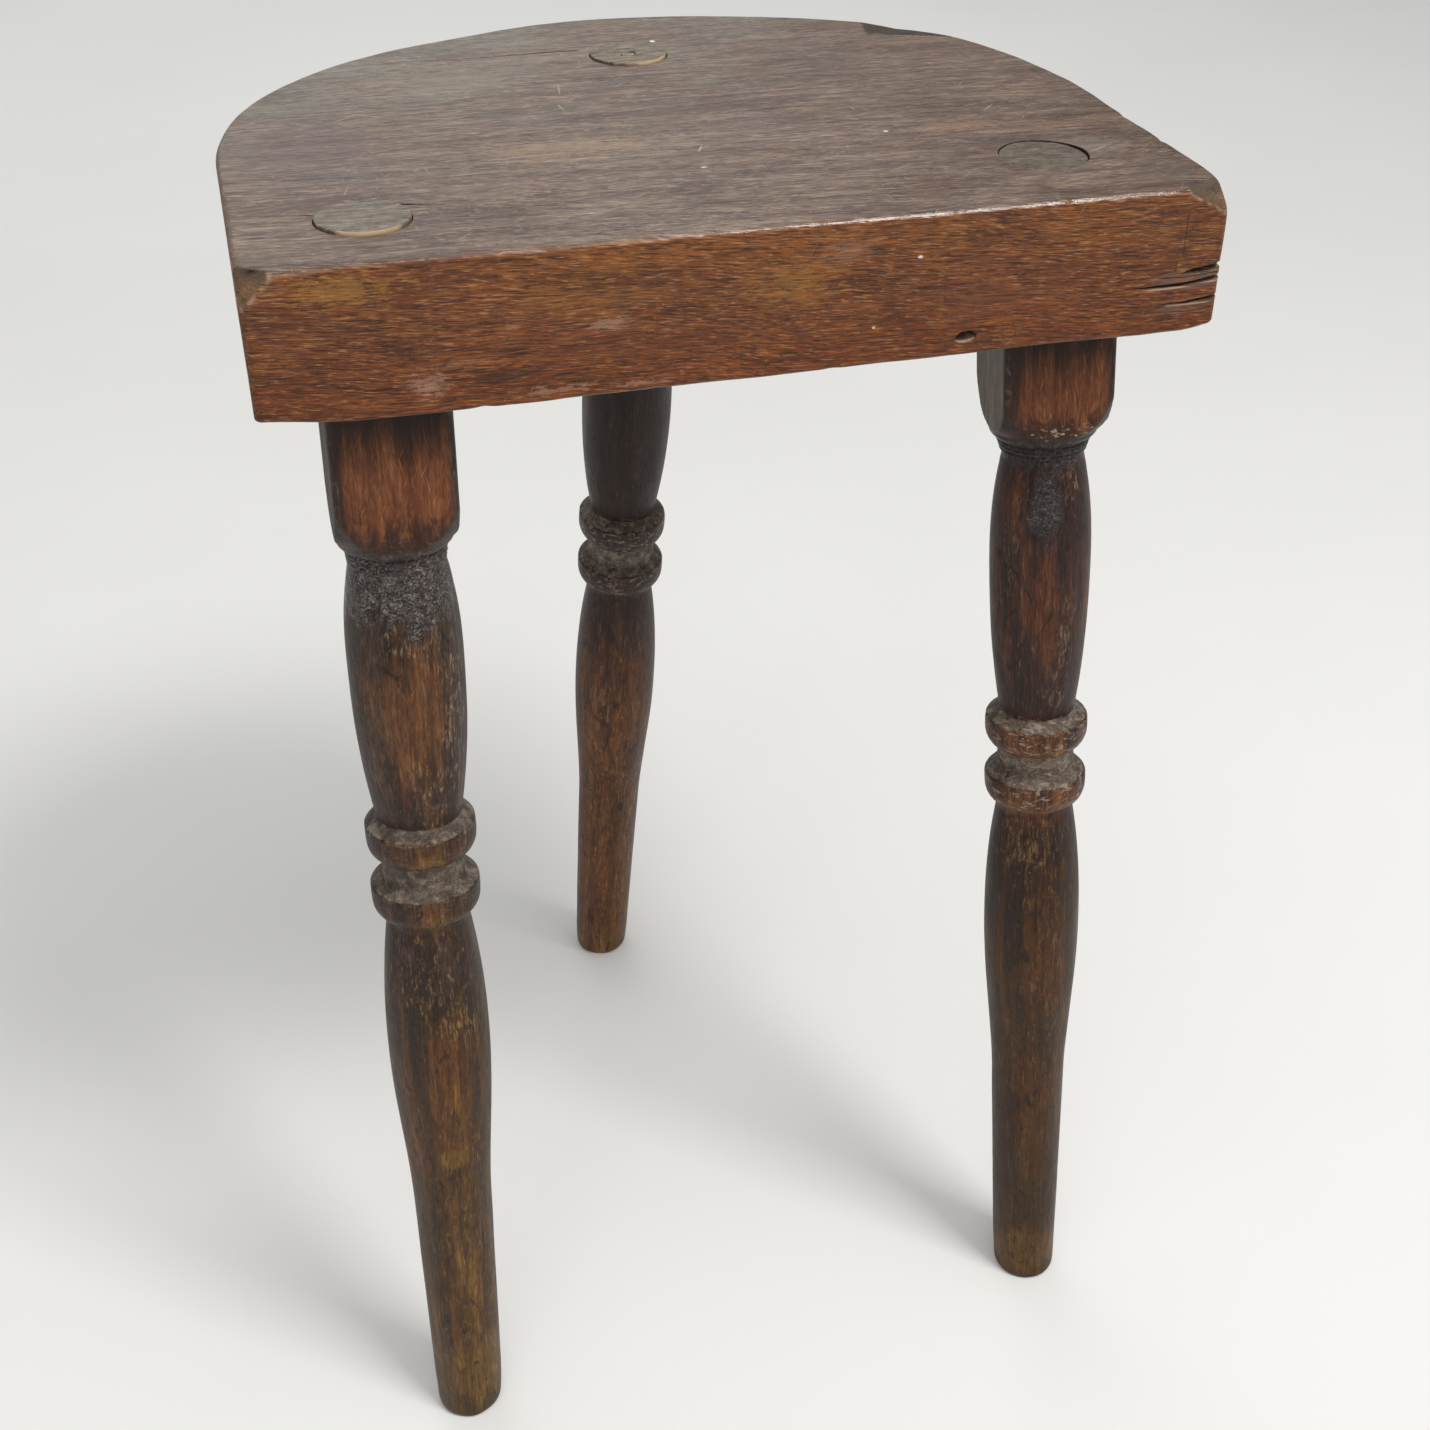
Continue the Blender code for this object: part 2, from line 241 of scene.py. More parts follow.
def seat_outline():
    """Points and outward normals round the seat, closest together at the front corners."""
    points = []
    for side in (-1.0, 1.0):
        centre = np.array((side * (HALF_WIDTH - UPRIGHT_ARRIS), FRONT_Y + UPRIGHT_ARRIS))
        start = math.pi if side < 0.0 else 1.5 * math.pi
        for angle in np.linspace(start, start + math.pi / 2.0, 24):
            points.append(centre + UPRIGHT_ARRIS * np.array((math.cos(angle), math.sin(angle))))
    for angle in np.linspace(0.0, math.pi, 400):
        radius = round_radius(angle)
        points.append(np.array((
            radius * math.cos(angle), ROUND_CENTRE_Y + radius * math.sin(angle),
        )))
    points = np.array(points)

    def walk(line, count, density):
        closed = np.vstack([line, line[:1]])
        length = np.concatenate([[0.0], np.cumsum(np.linalg.norm(np.diff(closed, axis=0), axis=1))])
        fine = np.linspace(0.0, length[-1], 20000)
        x = np.interp(fine, length, closed[:, 0])
        y = np.interp(fine, length, closed[:, 1])
        weight = np.cumsum(density(x, y))
        at = np.interp(np.arange(count) / count * (weight[-1] - weight[0]) + weight[0], weight, fine)
        return np.stack([np.interp(at, fine, x), np.interp(at, fine, y)], axis=1)

    def density(x, y):
        corner = np.hypot(np.abs(x) - HALF_WIDTH, y - FRONT_Y)
        spacing = np.where(y < FRONT_Y + 3.0 * MM, FRONT_SPACING, ROUND_SPACING)
        wider = (spacing - CORNER_SPACING) * rise(corner, 3.0 * MM, 22.0 * MM)
        return 1.0 / (CORNER_SPACING + wider)

    outline = walk(points, SEAT_SAMPLES, density)
    along = np.roll(outline, -1, axis=0) - np.roll(outline, 1, axis=0)
    along /= np.linalg.norm(along, axis=1, keepdims=True)
    return outline, np.stack([along[:, 1], -along[:, 0]], axis=1)


def plane_through(a, b, c):
    """A point on the plane through three places in millimetres, and its upward normal."""
    a, b, c = (np.array(p) * MM for p in (a, b, c))
    normal = np.cross(b - a, c - a)
    normal /= np.linalg.norm(normal)
    return a, normal if normal[2] > 0.0 else -normal


# Planes that the two front corners were knocked back to: a point on each, its outward
# direction and how soft its edge is
CORNER_FACETS = (
    (*plane_through((-136.3, -100.9, TOP_Z), (-126.2, FACE_Y, TOP_Z), (-136.3, FACE_Y, 419.4)),
     0.2 * MM),
    (*plane_through((121.5, FACE_Y, TOP_Z), (136.3, -99.3, TOP_Z), (136.3, FACE_Y, 421.8)),
     0.9 * MM),
)
# The two straight sides of the chip in the back right edge, and how steeply it falls
CHIP_SIDES = (
    (np.array((89.7, 71.6)) * MM, np.array((0.389, 0.921))),
    (np.array((90.2, 76.0)) * MM, np.array((0.987, -0.158))),
)
CHIP_SLOPE = 0.11
# Small knocks on the edges: where, how wide and how deep
KNOCKS = (
    (54.8, FACE_Y, TOP_Z, 1.1, 0.9), (136.3, -65.5, TOP_Z, 1.5, 1.3),
    (-17.0, FACE_Y, TOP_Z, 2.4, 0.4), (88.0, FACE_Y, TOP_Z, 1.8, 0.3),
    (-60.0, FACE_Y, TOP_Z, 3.0, 0.4), (-136.3, FACE_Y, 409.0, 1.3, 0.8),
    (-136.3, FACE_Y, 404.5, 1.0, 0.8), (-136.3, FACE_Y, 400.5, 1.2, 0.9),
    (-136.3, FACE_Y, 396.5, 1.0, 0.7), (-77.0, FACE_Y, 387.0, 1.8, 0.5),
    (-30.0, FACE_Y, 387.0, 1.6, 0.4), (20.0, FACE_Y, 387.0, 2.0, 0.3),
    (136.3, -40.0, TOP_Z, 2.6, 0.4), (-136.3, -50.0, TOP_Z, 2.4, 0.4),
    (136.3, FACE_Y, 408.0, 1.2, 0.5),
)


def seat_surface():
    outline, outward = seat_outline()
    flat = np.column_stack([outline, np.zeros(len(outline))])
    top_round = (1.1 + 0.35 * lumps(flat, 34, 3) + 0.2 * lumps(flat, 7, 4)) * MM
    low_round = (1.3 + 0.4 * lumps(flat, 22, 5) + 0.3 * lumps(flat, 6, 6)) * MM
    on_front = outline[:, 1] < FRONT_Y + 0.5 * MM
    left_end = rise(outline[:, 0], -132.0 * MM, -126.0 * MM) * fall(outline[:, 0], -122.0 * MM, -95.0 * MM)
    top_round = np.minimum(top_round, UPRIGHT_ARRIS - 0.2 * MM) + 1.0 * MM * left_end * on_front
    rows = []

    def ring(inset, height):
        points = outline - outward * inset[:, None]
        rows.append(np.column_stack([points, height]))

    def disc(inset, height, share):
        points = outline - outward * inset[:, None]
        points = SEAT_MIDDLE + (points - SEAT_MIDDLE) * share
        rows.append(np.column_stack([points, np.full(len(points), height)]))

    inward = np.concatenate([np.linspace(0.02, 0.9, 26), np.linspace(0.92, 0.995, 10)])
    for share in inward:
        disc(top_round, SEAT_TOP, share)
    for turn in np.linspace(0.0, math.pi / 2.0, 9):
        share = turn / (math.pi / 2.0)
        inset = 0.45 * (1.0 - math.sin(turn)) + 0.55 * (1.0 - share)
        drop = 0.45 * (1.0 - math.cos(turn)) + 0.55 * share
        ring(top_round * inset, SEAT_TOP - top_round * drop)
    for share in np.concatenate([np.linspace(0.0, 0.3, 18), np.linspace(0.3, 1.0, 14)[1:]])[1:-1]:
        top, low = SEAT_TOP - top_round, UNDERSIDE + low_round
        ring(np.zeros(len(outline)), top + (low - top) * share)
    for turn in np.linspace(math.pi / 2.0, 0.0, 6):
        ring(low_round * (1.0 - math.sin(turn)), UNDERSIDE + low_round * (1.0 - math.cos(turn)))
    for share in inward[::-2]:
        disc(low_round, UNDERSIDE, share)
    rows = np.array(rows)
    poles = np.array([(*SEAT_MIDDLE, SEAT_TOP), (*SEAT_MIDDLE, UNDERSIDE)])
    return rows, poles


def chip_reach(points):
    """How far inside the chip at the seat's back right edge each point lies."""
    first, second = ((points[..., :2] - place) @ out for place, out in CHIP_SIDES)
    return soft_min(first, second, 1.0 * MM)


def wear_seat(points):
    """The plank's hand-made unevenness, its knocked-back corners, its chip and knocks."""
    p = points.copy()
    x, y, z = p[..., 0], p[..., 1], p[..., 2]
    high = rise(z, SEAT_TOP - 6.0 * MM, SEAT_TOP)
    low = fall(z, UNDERSIDE, UNDERSIDE + 6.0 * MM)
    front = fall(y, FRONT_Y, FRONT_Y + 3.0 * MM)

    broad = lumps(points, (70, 45, 60), 11)
    close = lumps(points, (26, 9, 9), 12)
    sunk = 0.22 * (1.0 + broad) + 0.07 * (1.0 + close)
    z -= high * sunk * MM
    z += low * (0.3 * (1.0 + broad) + 0.12 * (1.0 + close)) * MM
    y += front * (0.16 * (1.0 + lumps(points, (48, 30, 17), 13))
                  + 0.04 * (1.0 + lumps(points, (12, 9, 4), 14))) * MM
    sawn = rise(y, FRONT_Y + 4.0 * MM, FRONT_Y + 12.0 * MM)
    reach = np.hypot(x, y - ROUND_CENTRE_Y)
    edge = rise(reach, 118 * MM, 134 * MM) * sawn
    pull = edge * (0.25 * (1.0 + lumps(points, (17, 17, 40), 15))) * MM
    x -= pull * x / np.maximum(reach, 1e-6)
    y -= pull * (y - ROUND_CENTRE_Y) / np.maximum(reach, 1e-6)

    # The lower front corners are worn away
    for side, reach_in, raised in ((-1.0, 27.0, 2.6), (1.0, 11.0, 1.7)):
        near_end = rise(side * x, HALF_WIDTH - reach_in * MM, HALF_WIDTH + 2.0 * MM)
        near_front = fall(y, FRONT_Y, FRONT_Y + 24.0 * MM)
        z += fall(z, UNDERSIDE, UNDERSIDE + 16.0 * MM) * near_end * near_front * raised * MM

    for place, normal, softness in CORNER_FACETS:
        rough = 0.25 * MM * lumps(points, 5, 17)
        over = (p - place) @ normal - rough
        over = softness * np.logaddexp(0.0, over / softness)
        p -= np.where(over > 0.01 * MM, over, 0.0)[..., None] * normal

    beyond = chip_reach(p) + 0.5 * MM * lumps(points, (9, 9, 99000), 18)
    allowed = SEAT_TOP - CHIP_SLOPE * beyond + 0.07 * MM * lumps(points, 3, 19)
    over = 0.06 * MM * np.logaddexp(0.0, (p[..., 2] - allowed) / (0.06 * MM))
    over *= rise(beyond, -1.0 * MM, 0.3 * MM)
    over *= rise(p[..., 2], UNDERSIDE + 22 * MM, SEAT_TOP - 6 * MM)
    p[..., 2] -= over

    for *place, size, depth in KNOCKS:
        place = np.array(place) * MM
        place[2] += SEAT_TOP - TOP_Z * MM
        share = np.exp(-np.sum(((p - place) / (size * MM)) ** 2, axis=-1))
        inward = np.array((0.0, 1.0, -0.7 if place[2] > SEAT_TOP - 9 * MM else 0.7))
        if abs(place[0]) > HALF_WIDTH - 1.0 * MM:
            inward = np.array((-math.copysign(1.0, place[0]), 0.6, inward[2] * 0.6))
        p += share[..., None] * (inward / np.linalg.norm(inward) * depth * MM)
    low_corner, high_corner = np.array(SEAT_LOW), np.array(SEAT_HIGH)
    return np.clip(p, low_corner, high_corner)


def split(name, path, inward, widths, depths):
    """A long V-shaped cutter; path is on the surface, inward points into the wood."""
    path = np.array(path) * MM
    inward = np.array(inward, float)
    along = np.gradient(path, axis=0)
    along /= np.linalg.norm(along, axis=1, keepdims=True)
    across = np.cross(along, inward)
    across /= np.linalg.norm(across, axis=1, keepdims=True)
    widths = np.interp(np.linspace(0, 1, len(path)), np.linspace(0, 1, len(widths)), widths) * MM
    depths = np.interp(np.linspace(0, 1, len(path)), np.linspace(0, 1, len(depths)), depths) * MM
    tip = 0.05 * MM
    outside = 1.0 * MM
    rows = []
    for point, side, width, depth in zip(path, across, widths, depths):
        rows.append((
            point - inward * outside + side * width * 1.3,
            point - inward * outside - side * width * 1.3,
            point + inward * depth - side * tip,
            point + inward * depth + side * tip,
        ))
    rows = np.array(rows)
    first = rows[0].mean(axis=0) - along[0] * 0.3 * MM
    last = rows[-1].mean(axis=0) + along[-1] * 0.3 * MM
    return new_piece(name, closed_grid(name, rows, first, last))


def wavy(points, steps, amount, seed, across):
    """More points along a path, wandering a little to either side."""
    points = np.array(points, float)
    t = np.linspace(0.0, len(points) - 1.0, steps)
    line = np.stack([np.interp(t, np.arange(len(points)), points[:, k]) for k in range(3)], axis=1)
    wander = lumps(line * MM, 5, seed) * amount
    ends = np.minimum(1.0, np.minimum(t, len(points) - 1.0 - t) * 3.0)
    return line + np.outer(wander * ends, np.array(across))


DOWN = (0.0, 0.0, -1.0)
BACK = (0.0, 1.0, 0.0)


def seat_splits():
    """Cracks that run with the grain, on the top and at the right of the front face.

    Each is its path, the points along it, how far it wanders, its half widths and its depths.
    """
    top = TOP_Z
    on_top = (
        ("crack behind", ((-66, 74.6, top), (-45, 74.2, top), (-26, 74.6, top), (-12.5, 75.2, top)),
         30, 0.35, (0.08, 0.16, 0.24, 0.38, 0.45, 0.30), (0.5, 1.2, 2.5, 3.5, 3.0)),
        ("crack faint", ((-94, 73.6, top), (-80, 74.4, top), (-68, 74.2, top)),
         14, 0.3, (0.04, 0.12, 0.05), (0.3, 0.8, 0.4)),
        ("split at left tenon", ((-98.0, -63.4, top), (-91.0, -65.8, top), (-81.5, -68.0, top)),
         16, 0.2, (0.20, 0.62, 0.55, 0.12), (1.5, 3.0, 0.9)),
        ("split left of tenon", ((-119, -67.6, top), (-113.5, -69.5, top)),
         10, 0.2, (0.08, 0.32, 0.28), (0.5, 1.4)),
        ("split right of back tenon", ((16.3, 62.0, top), (22, 63.2, top), (30, 64.4, top)),
         12, 0.3, (0.14, 0.1, 0.03), (1.0, 0.4)),
        ("streak behind back tenon", ((-6.5, 83.6, top), (4, 83.2, top), (15, 82.4, top)),
         12, 0.3, (0.05, 0.12, 0.04), (0.3, 0.7, 0.3)),
    )
    cutters = []
    for seed, (name, path, steps, amount, widths, depths) in enumerate(on_top, 40):
        cutters.append(split(name, wavy(path, steps, amount, seed, (0, 1, 0)), DOWN, widths, depths))
    y = FACE_Y
    checks = (
        ("check gap", ((123.5, y, 405.2), (127, y, 405.8), (131.2, y, 406.0), (138.5, y, 407.0)),
         14, 0.15, (0.12, 0.75, 0.90, 0.95), (1.0, 5.0, 8.0)),
        ("check long", ((105.5, y, 402.2), (114.5, y, 401.9), (123.3, y, 402.1), (130.1, y, 402.6),
                        (138.5, y, 403.8)),
         22, 0.15, (0.10, 0.36, 0.50, 0.46, 0.60, 0.7), (0.8, 3.0, 4.0, 6.0)),
        ("check sliver", ((117.0, y, 404.4), (126, y, 404.2), (138.5, y, 405.2)),
         12, 0.12, (0.05, 0.14, 0.22), (0.6, 1.5, 3.0)),
        ("check low", ((117.5, y, 396.5), (126.3, y, 396.5), (132.0, y, 396.7), (138.5, y, 397.4)),
         16, 0.2, (0.10, 0.42, 0.56, 0.60), (1.0, 4.0, 6.0)),
        ("check fine", ((112.5, y, 395.2), (120.1, y, 395.6)),
         8, 0.12, (0.04, 0.1, 0.04), (0.4, 0.8, 0.4)),
        ("check lowest", ((123.0, y, 393.8), (130.0, y, 393.5), (138.5, y, 393.6)),
         12, 0.15, (0.05, 0.16, 0.22), (0.5, 1.2, 2.0)),
        ("check upper", ((96.0, y, 400.6), (104.0, y, 400.2), (111.0, y, 400.0)),
         10, 0.15, (0.03, 0.08, 0.03), (0.3, 0.6, 0.3)),
    )
    for seed, (name, path, steps, amount, widths, depths) in enumerate(checks, 50):
        cutters.append(split(name, wavy(path, steps, amount, seed, (0, 0, 1)), BACK, widths, depths))
    return cutters


HOLE_X = 58.9 * MM
HOLE_BELOW_TOP = 37.0 * MM
# How far in each ring of the hole is, and how much wider it is, in millimetres
HOLE_RINGS = (
    (-3.0, 0.5), (0.1, 0.2), (0.6, 0.0), (2.0, -0.1), (4.0, -0.2), (8.0, -0.4), (13.0, -0.9),
)


def oval_hole():
    """The small oval hole low in the front face, a little aslant."""
    rows = []
    angles = ring_of(28)
    for depth, grow in HOLE_RINGS:
        rows.append(np.column_stack([
            HOLE_X + (3.0 + grow) * MM * np.cos(angles),
            np.full(len(angles), FRONT_Y + depth * MM),
            SEAT_TOP - HOLE_BELOW_TOP + ((1.7 + grow) * np.sin(angles) + 0.25 * np.cos(angles)) * MM,
        ]))
    rows = np.array(rows)
    rows += 0.12 * MM * lumps(rows, 1.6, 60)[..., None]
    return capped_piece("oval hole", rows)


# Legs --------------------------------------------------------------------------------

STOCK = 17.3 * MM
PUMMEL_RISE = 12.5 * MM
PUMMEL_CORNER = 26.0 * MM
TENON_RADIUS = 12.8 * MM
TENON_ROOT = 15.0 * MM
MORTISE_GAP = 0.3 * MM
SHOULDER_GAP = 0.3 * MM
RING_RADIUS = 17.25 * MM
GROOVE_RADIUS = 13.1 * MM
VASE_END = 138.6 * MM
RING_STARTS = (141.3 * MM, 162.7 * MM)
GROOVE_END = 155.3 * MM
SWELL_START = 176.5 * MM
SWELL_BELLY = 226.0 * MM
SWELL_RADIUS = 16.8 * MM
SWELL_POWER = 2.2
ANKLE = 298.0 * MM
ANKLE_RADIUS = 13.3 * MM
FOOT_RADIUS = 11.7 * MM
LEG_COLUMNS = 160
# The shares of its radius at which the sole of the foot has rings
FOOT_SHARES = (0.12, 0.3, 0.5, 0.68, 0.84, 0.95)

# A rim_at of this says that no part of the tenon's rim is bare
NO_BARE_RIM = 9.0

# Lengths are in millimetres and angles in degrees, but rim_at is in radians. Shares, such as
# ring_wear and crackle, go from 0 to 1, and tints are linear colours.
LEGS = (
    {
        "name": "leg_front_left", "foot": "foot_front_left", "seed": 100,
        "axis_top": (-99.9, -75.2), "tenon_top": (-101.0, -75.7), "tenon_rise": 0.8,
        "twist": 0.0, "block": 46.0, "corner": 2.3, "neck": 14.1, "belly_at": 87.0, "belly": 17.3,
        "vase_end": 13.2, "ring_wear": 0.15, "bow": 0.0, "rim_at": 0.02, "crackle": 1.0,
        "handled": -94.0, "end_tint": (0.178, 0.150, 0.120),
        "side_tint": (0.030, 0.021, 0.017), "drips_to": -11.0,
        "upper_tint": (0.98, 0.88, 0.76), "ring_tint": (0.80, 0.66, 0.50), "lower_tint": (0.80, 0.66, 0.39),
    },
    {
        "name": "leg_front_right", "foot": "foot_front_right", "seed": 200,
        "axis_top": (97.3, -70.2), "tenon_top": (95.7, -69.3), "tenon_rise": -0.3,
        "twist": -7.0, "block": 39.0, "corner": 2.0, "neck": 12.6, "belly_at": 83.0, "belly": 16.3,
        "vase_end": 12.5, "ring_wear": 0.75, "bow": 0.0, "rim_at": NO_BARE_RIM, "crackle": 0.45,
        "handled": -115.0, "end_tint": (0.110, 0.088, 0.066),
        "side_tint": (0.135, 0.115, 0.090), "drips_to": -8.0,
        "upper_tint": (0.74, 0.53, 0.50), "ring_tint": (0.88, 0.66, 0.54), "lower_tint": (0.58, 0.42, 0.16),
    },
    {
        "name": "leg_back", "foot": "foot_back", "seed": 300,
        "axis_top": (7.3, 64.1), "tenon_top": (2.8, 64.6), "tenon_rise": 0.8,
        "twist": 4.0, "block": 43.0, "corner": 2.2, "neck": 13.5, "belly_at": 88.0, "belly": 17.1,
        "vase_end": 12.6, "ring_wear": 0.6, "bow": 0.8, "rim_at": 0.2, "crackle": 0.3,
        "handled": -103.0, "end_tint": (0.172, 0.144, 0.108),
        "side_tint": (0.030, 0.021, 0.017), "drips_to": -11.0,
        # The dark upper_tint is partly painted shade under the seat
        "upper_tint": (0.50, 0.36, 0.32), "ring_tint": (0.74, 0.66, 0.68), "lower_tint": (0.97, 0.78, 0.58),
    },
)


# Where each leg's varnish has worn: degrees round from its most handled side, millimetres
# below the seat, half the width in degrees, half the height in millimetres and how much.
# Warm is rubbed red-brown wood, gold is bare wood, and flecks are small tan flakes.
LEG_ZONES = {
    "leg_front_left": {
        "warm": ((6, 101, 32, 26, 0.95), (-50, 98, 26, 30, 0.30), (10, 243, 32, 30, 0.85),
                 (-40, 262, 34, 40, 0.55), (180, 100, 80, 40, 0.7), (180, 250, 80, 60, 0.7),
                 (0, 330, 80, 55, 0.45), (0, 148, 50, 10, 0.6), (0, 170, 50, 9, 0.6)),
        "gold": ((14, 248, 12, 17, 0.70), (4, 266, 20, 4, 1.0), (14, 325, 20, 32, 0.70),
                 (22, 368, 60, 17, 0.95), (-60, 352, 30, 30, 0.45), (160, 330, 70, 50, 0.7),
                 (4, 149, 26, 4, 0.65), (8, 171, 30, 4, 0.65), (10, 108, 14, 20, 0.40)),
        "hide": ((0, 50, 220, 18, 1.0), (14, 66, 22, 10, 0.7)),
        "flecks": ((10, 74, 34, 6, 0.75), (48, 100, 20, 32, 0.85), (22, 126, 30, 12, 0.75),
                   (-5, 196, 60, 14, 0.60), (26, 212, 34, 9, 0.95), (10, 180, 80, 6, 0.5),
                   (180, 100, 90, 40, 0.6), (180, 220, 90, 60, 0.6), (15, 300, 60, 60, 0.45)),
    },
    "leg_front_right": {
        "warm": ((-36, 66, 24, 14, 0.45), (-42, 84, 26, 26, 0.40), (6, 98, 28, 28, 0.60),
                 (52, 96, 18, 20, 0.45), (-36, 110, 24, 16, 0.45), (20, 232, 36, 30, 0.75),
                 (-40, 250, 36, 40, 0.45),
                 (10, 300, 60, 30, 0.55), (180, 100, 80, 40, 0.6), (180, 250, 80, 60, 0.6),
                 (0, 148, 70, 10, 0.75), (0, 170, 70, 9, 0.75)),
        "gold": ((0, 376, 95, 12, 0.95), (30, 330, 30, 26, 0.40), (150, 330, 70, 50, 0.7),
                 (5, 149, 50, 4, 0.60), (15, 171, 50, 4, 0.50), (-30, 192, 14, 10, 0.45)),
        "hide": ((6, 61, 24, 12, 0.80), (12, 70, 12, 8, 0.55), (0, 44, 180, 6, 0.8)),
        "flecks": ((38, 56, 18, 10, 0.80), (-24, 54, 14, 8, 0.45), (34, 112, 12, 24, 0.95),
                   (-34, 80, 18, 22, 0.65), (-25, 112, 14, 10, 0.60), (28, 128, 18, 9, 0.85),
                   (-5, 186, 50, 14, 0.95),
                   (180, 100, 90, 40, 0.6), (180, 220, 90, 60, 0.6), (20, 240, 50, 50, 0.45),
                   (30, 215, 16, 20, 0.6)),
    },
    "leg_back": {
        "warm": ((0, 215, 75, 20, 0.55), (0, 262, 90, 45, 0.80), (0, 340, 120, 60, 0.85),
                 (180, 100, 80, 40, 0.6), (180, 250, 80, 60, 0.6)),
        "gold": ((70, 340, 24, 50, 0.65), (0, 382, 95, 11, 0.75), (-20, 345, 22, 20, 0.40),
                 (150, 330, 60, 50, 0.7)),
        "hide": ((0, 48, 180, 8, 0.8),),
        "flecks": ((-12, 226, 40, 16, 0.60), (30, 200, 24, 10, 0.45), (0, 290, 60, 50, 0.50),
                   (60, 300, 22, 50, 0.70), (180, 220, 90, 80, 0.6)),
    },
}


def worn_zones(zones, degrees, below):
    """The strongest of the worn zones at each place."""
    total = np.zeros(len(below))
    for at, depth, wide, tall, strength in zones:
        across = (degrees - at + 180.0) % 360.0 - 180.0
        reach = (across / wide) ** 2 + ((below - depth * MM) / (tall * MM)) ** 2
        total = np.maximum(total, strength * np.exp(-0.7 * reach ** 1.3))
    return total


def leg_frame(leg):
    """The leg's own frame as a matrix, and the leg's length down its axis."""
    top = Vector((leg["axis_top"][0] * MM, leg["axis_top"][1] * MM, SEAT_TOP))
    foot = Vector(MOUNTS[leg["foot"]]["pos_m"])
    up = (top - foot).normalized()
    root = foot.lerp(top, (UNDERSIDE - foot.z) / (top.z - foot.z))
    turn = UP.rotation_difference(up) @ Quaternion(UP, math.radians(leg["twist"]))
    return Matrix.Translation(root) @ turn.to_matrix().to_4x4(), (root - foot).length


def swell(start, start_radius, belly, belly_radius, end, end_radius, steps):
    """(distance, radius) pairs that swell from one radius to the belly and back to another."""
    at = np.linspace(start, end, steps)
    before = at < belly
    share = np.where(before, (belly - at) / (belly - start), (at - belly) / max(end - belly, 1e-9))
    edge = np.where(before, start_radius, end_radius)
    return list(zip(at, edge + (belly_radius - edge) * (1.0 - np.abs(share) ** SWELL_POWER)))


def ring_profile(start, groove_before, groove_after, wear):
    """One ring: sloping shoulder, arris, band and rounded lower edge."""
    band = 5.5 * MM + start
    arris = (0.35 + 0.75 * wear) * MM
    points = [
        (start - 2.4 * MM, groove_before + 0.15 * MM),
        (start - 1.7 * MM, groove_before + 1.5 * MM),
        (start - 0.9 * MM, groove_before + 2.7 * MM),
    ]
    for turn in np.linspace(0.35, math.pi / 2.0, 6):
        points.append((
            start + arris * 1.5 * (1.0 - math.cos(turn)) - 0.2 * MM,
            RING_RADIUS - arris * 1.6 * (1.0 - math.sin(turn)),
        ))
    points.append((start + 3.4 * MM, RING_RADIUS + 0.1 * MM * (1.0 - wear)))
    depth = RING_RADIUS - groove_after
    for turn in np.linspace(0.0, math.pi / 2.0, 9):
        points.append((
            band + 5.4 * MM * math.sin(turn) - 0.9 * MM * wear * math.cos(turn),
            RING_RADIUS - depth * (1.0 - math.cos(turn)),
        ))
    return points


